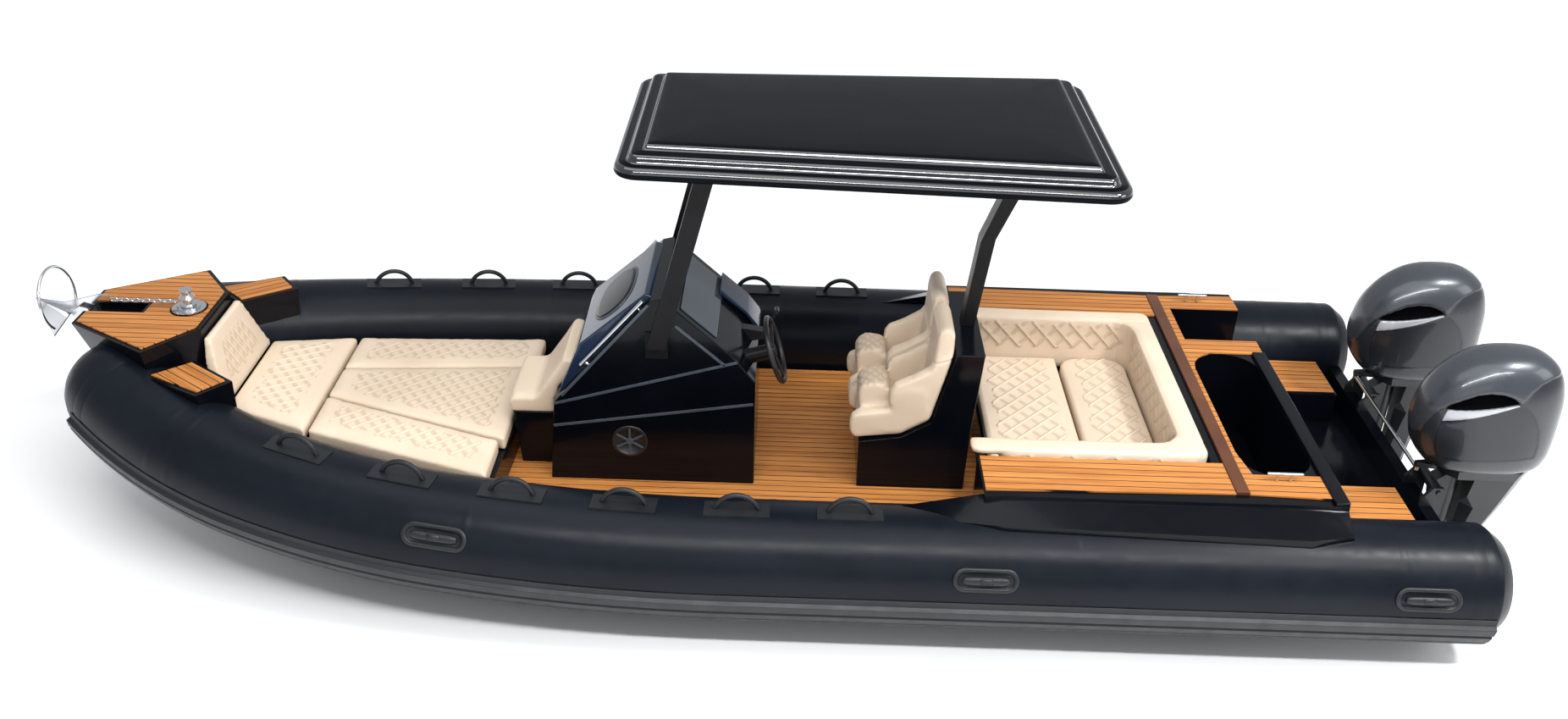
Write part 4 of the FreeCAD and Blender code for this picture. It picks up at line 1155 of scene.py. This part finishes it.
def disc(centre, normal, profile, count=48):
    """A turned shape: rows of (radius, height) round an axis that starts at the centre."""
    centre, normal = np.array(centre, float), np.array(normal, float) / np.linalg.norm(normal)
    first = np.cross(normal, [0, 1, 0] if abs(normal[1]) < 0.9 else [0, 0, 1])
    first /= np.linalg.norm(first)
    second = np.cross(normal, first)
    turn = np.linspace(0, 2 * math.pi, count, endpoint=False)
    ring = first * np.cos(turn)[:, None] + second * np.sin(turn)[:, None]
    return np.array([centre + ring * radius + normal * height for radius, height in profile])


# Outlines seen from the side, as (x, z). The wedge's slope runs from its second to its third corner.
WEDGE = [(0.720, 1.438), (0.762, 1.452), (1.120, 1.140), (1.160, 1.050), (1.262, 0.806),
         (1.150, 0.760), (0.700, 1.300)]
fitted("console_wedge", [plate(WEDGE, -0.33, 0.33)], NAVY, 0.010)
DASH_HIGH, DASH_LOW = (0.591, 1.385), (0.291, 1.117)
GLASS_THICK = 0.008
dash_slope = (DASH_HIGH[1] - DASH_LOW[1]) / (DASH_HIGH[0] - DASH_LOW[0])
dash_top = [(x, DASH_LOW[1] + (x - DASH_LOW[0]) * dash_slope) for x in (0.575, 0.385)]
glass = dash_top + [(x, z + GLASS_THICK) for x, z in reversed(dash_top)]
fitted("dash_glass", [plate(glass, -0.33, 0.335)], GLASS, 0.002)
SHELF = [(0.400, 1.222), (0.250, 1.098), (0.182, 1.000), (0.160, 0.985), (0.176, 1.030),
         (0.246, 1.122), (0.392, 1.250)]
fitted("dash_shelf", [plate(SHELF, -0.37, -0.14)], NAVY, 0.006)
RIBS = [((1.268, 0.794), (0.270, 1.088)), ((1.278, 0.652), (0.180, 0.828)),
        ((1.225, 0.845), (0.742, 1.418)), ((0.600, 1.300), (0.335, 1.066))]
RIB_HALF = 0.008
# The rib bands are grey: a painted highlight where the real ribs catch the light.
ribs = [band(start, end, RIB_HALF, low, high)
        for start, end in RIBS for low, high in ((0.388, 0.395), (-0.395, -0.388))]
fitted("console_rib_bands", ribs, GREY_TRIM_AND_RIB_HIGHLIGHT, 0.0015)
print("wedge, dash and ribs fitted")

# %% The hatch on the wedge
HATCH_X = 0.955
HATCH_FULLNESS = 2.5


def hatch(name, rise, long_half, short_half, material):
    """An oval plate on the wedge's slope, longest across the boat, fuller than an ellipse."""
    (high_x, high_z), (low_x, low_z) = WEDGE[1:3]
    slope = np.array([low_x - high_x, 0, low_z - high_z])
    slope /= np.linalg.norm(slope)
    normal = np.array([-slope[2], 0, slope[0]])
    share = (HATCH_X - high_x) / (low_x - high_x)
    centre = np.array([HATCH_X, 0, high_z + share * (low_z - high_z)])
    power = 2 / HATCH_FULLNESS
    turn = np.linspace(0, 2 * math.pi, 64, endpoint=False)
    c, s = np.cos(turn), np.sin(turn)
    rows = []
    for inset, height in ((0.0, -0.004), (0.0, rise), (0.004, rise + 0.003), (0.020, rise + 0.004)):
        across = (long_half - inset) * np.sign(c) * np.abs(c) ** power
        along = (short_half - inset) * np.sign(s) * np.abs(s) ** power
        rows.append(centre + np.outer(across, [0, 1, 0]) + np.outer(along, slope) + normal * height)
    piece = grid_object(name, np.array(rows))
    outward(piece)
    belongs(piece, [material])


hatch("hatch_frame", 0.002, 0.245, 0.150, GREY_TRIM_AND_RIB_HIGHLIGHT)
hatch("hatch_lid", 0.006, 0.232, 0.138, GELCOAT)
print("hatch fitted")

# %% A round vent on each side of the console
VENT = np.array([0.86, 0.565])
VENT_RIM = [(0.100, 0), (0.100, 0.006), (0.096, 0.010), (0.086, 0.010), (0.083, 0.006), (0.082, 0.002)]


def add_vent(label, side):
    """A turned rim, six blades like the spokes of a wheel, and a small hub."""
    rim = disc((VENT[0], side * 0.389, VENT[1]), (0, side, 0), VENT_RIM)
    vent = grid_object("vent_rim_" + label, rim)
    outward(vent)
    belongs(vent, [PLASTIC])
    low, high = sorted((side * 0.390, side * 0.397))
    blades = []
    for turn in np.radians(30 + 60 * np.arange(6)):
        out = np.array([math.cos(turn), math.sin(turn)])
        blades.append(band(VENT + out * 0.012, VENT + out * 0.084, 0.006, low, high))
    turn = np.linspace(0, 2 * math.pi, 20)[:-1]
    hub = VENT + 0.02 * np.stack([np.cos(turn), np.sin(turn)], axis=-1)
    blades.append(plate(hub, *sorted((side * 0.390, side * 0.400))))
    fitted("vent_blades_" + label, blades, GREY_TRIM_AND_RIB_HIGHLIGHT, 0.001)


add_vent("port", 1)
add_vent("starboard", -1)
print("console fitted")

# %% [markdown]
# ## Floor and light
# The picture stands on white with a soft shadow under the boat. A large pale plane takes the
# shadow, and glows a little away from the boat so that it ends in white. A wide lamp overhead
# lights everything evenly, a small one high astern gives the shadows a direction, a long thin one
# to port draws the soft band on the tube, and two weak ones fill in from the side and from astern.

# %% White floor, sky and lamps
FLOOR_REACH = 60.0
GLOW_START, GLOW_END, GLOW = 2.5, 9.0, 0.42


def add_floor():
    """A wide white plane at the waterline, whose glow grows with the distance from the boat."""
    material, tree, shader, place = new_material("white floor", roughness=0.9, specular=0.0)
    shade = between(tree, noise(tree, place, 0.5), 0.93, 0.95)
    tint = tree.nodes.new("ShaderNodeCombineColor")
    for channel in ("Red", "Green", "Blue"):
        tree.links.new(shade, tint.inputs[channel])
    tree.links.new(tint.outputs["Color"], shader.inputs["Base Color"])
    away = tree.nodes.new("ShaderNodeVectorMath")
    away.operation = "LENGTH"
    tree.links.new(place, away.inputs[0])
    glow = between(tree, away.outputs["Value"], 0.0, GLOW, GLOW_START, GLOW_END)
    tree.links.new(glow, shader.inputs["Emission Strength"])
    shader.inputs["Emission Color"].default_value = (1, 1, 1, 1)
    x, y = np.meshgrid([-FLOOR_REACH, FLOOR_REACH], [-FLOOR_REACH, FLOOR_REACH])
    floor = grid_object("floor", np.stack([x, y, 0 * x], axis=-1), wrap=False, cap=False)
    floor.data.materials.append(material)


def add_sky(strength):
    """Even, slightly cool white light from all round."""
    world = bpy.data.worlds.new("sky")
    world.use_nodes = True
    bpy.context.scene.world = world
    background = world.node_tree.nodes["Background"]
    background.inputs["Color"].default_value = (0.93, 0.96, 1.0, 1)
    background.inputs["Strength"].default_value = strength


def add_lamp(name, place, aim, width, length, power):
    """A rectangular soft lamp that faces a point."""
    data = bpy.data.lights.new(name, "AREA")
    data.shape = "RECTANGLE"
    data.size = width
    data.size_y = length
    data.energy = power
    lamp = bpy.data.objects.new(name, data)
    bpy.context.collection.objects.link(lamp)
    lamp.location = place
    lamp.rotation_euler = (Vector(aim) - Vector(place)).to_track_quat("-Z", "Y").to_euler()


add_floor()
add_sky(0.55)
add_lamp("overhead", (0.5, 1.0, 9.0), (0, 0, 0.5), 12.0, 5.0, 340)
add_lamp("key", (-7.5, 2.5, 10.0), (-0.5, 0, 0.8), 1.4, 1.4, 760)
add_lamp("port strip", (-1.5, 4.4, 6.2), (-1.5, 1.2, 0.5), 9.0, 0.35, 480)
add_lamp("port side", (1.0, 9.0, 4.5), (0, 0, 0.6), 10.0, 2.0, 60)
add_lamp("stern", (-9.0, 3.0, 5.0), (-2.0, 0, 0.6), 3.0, 3.0, 110)
bpy.context.scene.view_settings.view_transform = "Standard"
print("lamps:", len(bpy.data.lights))
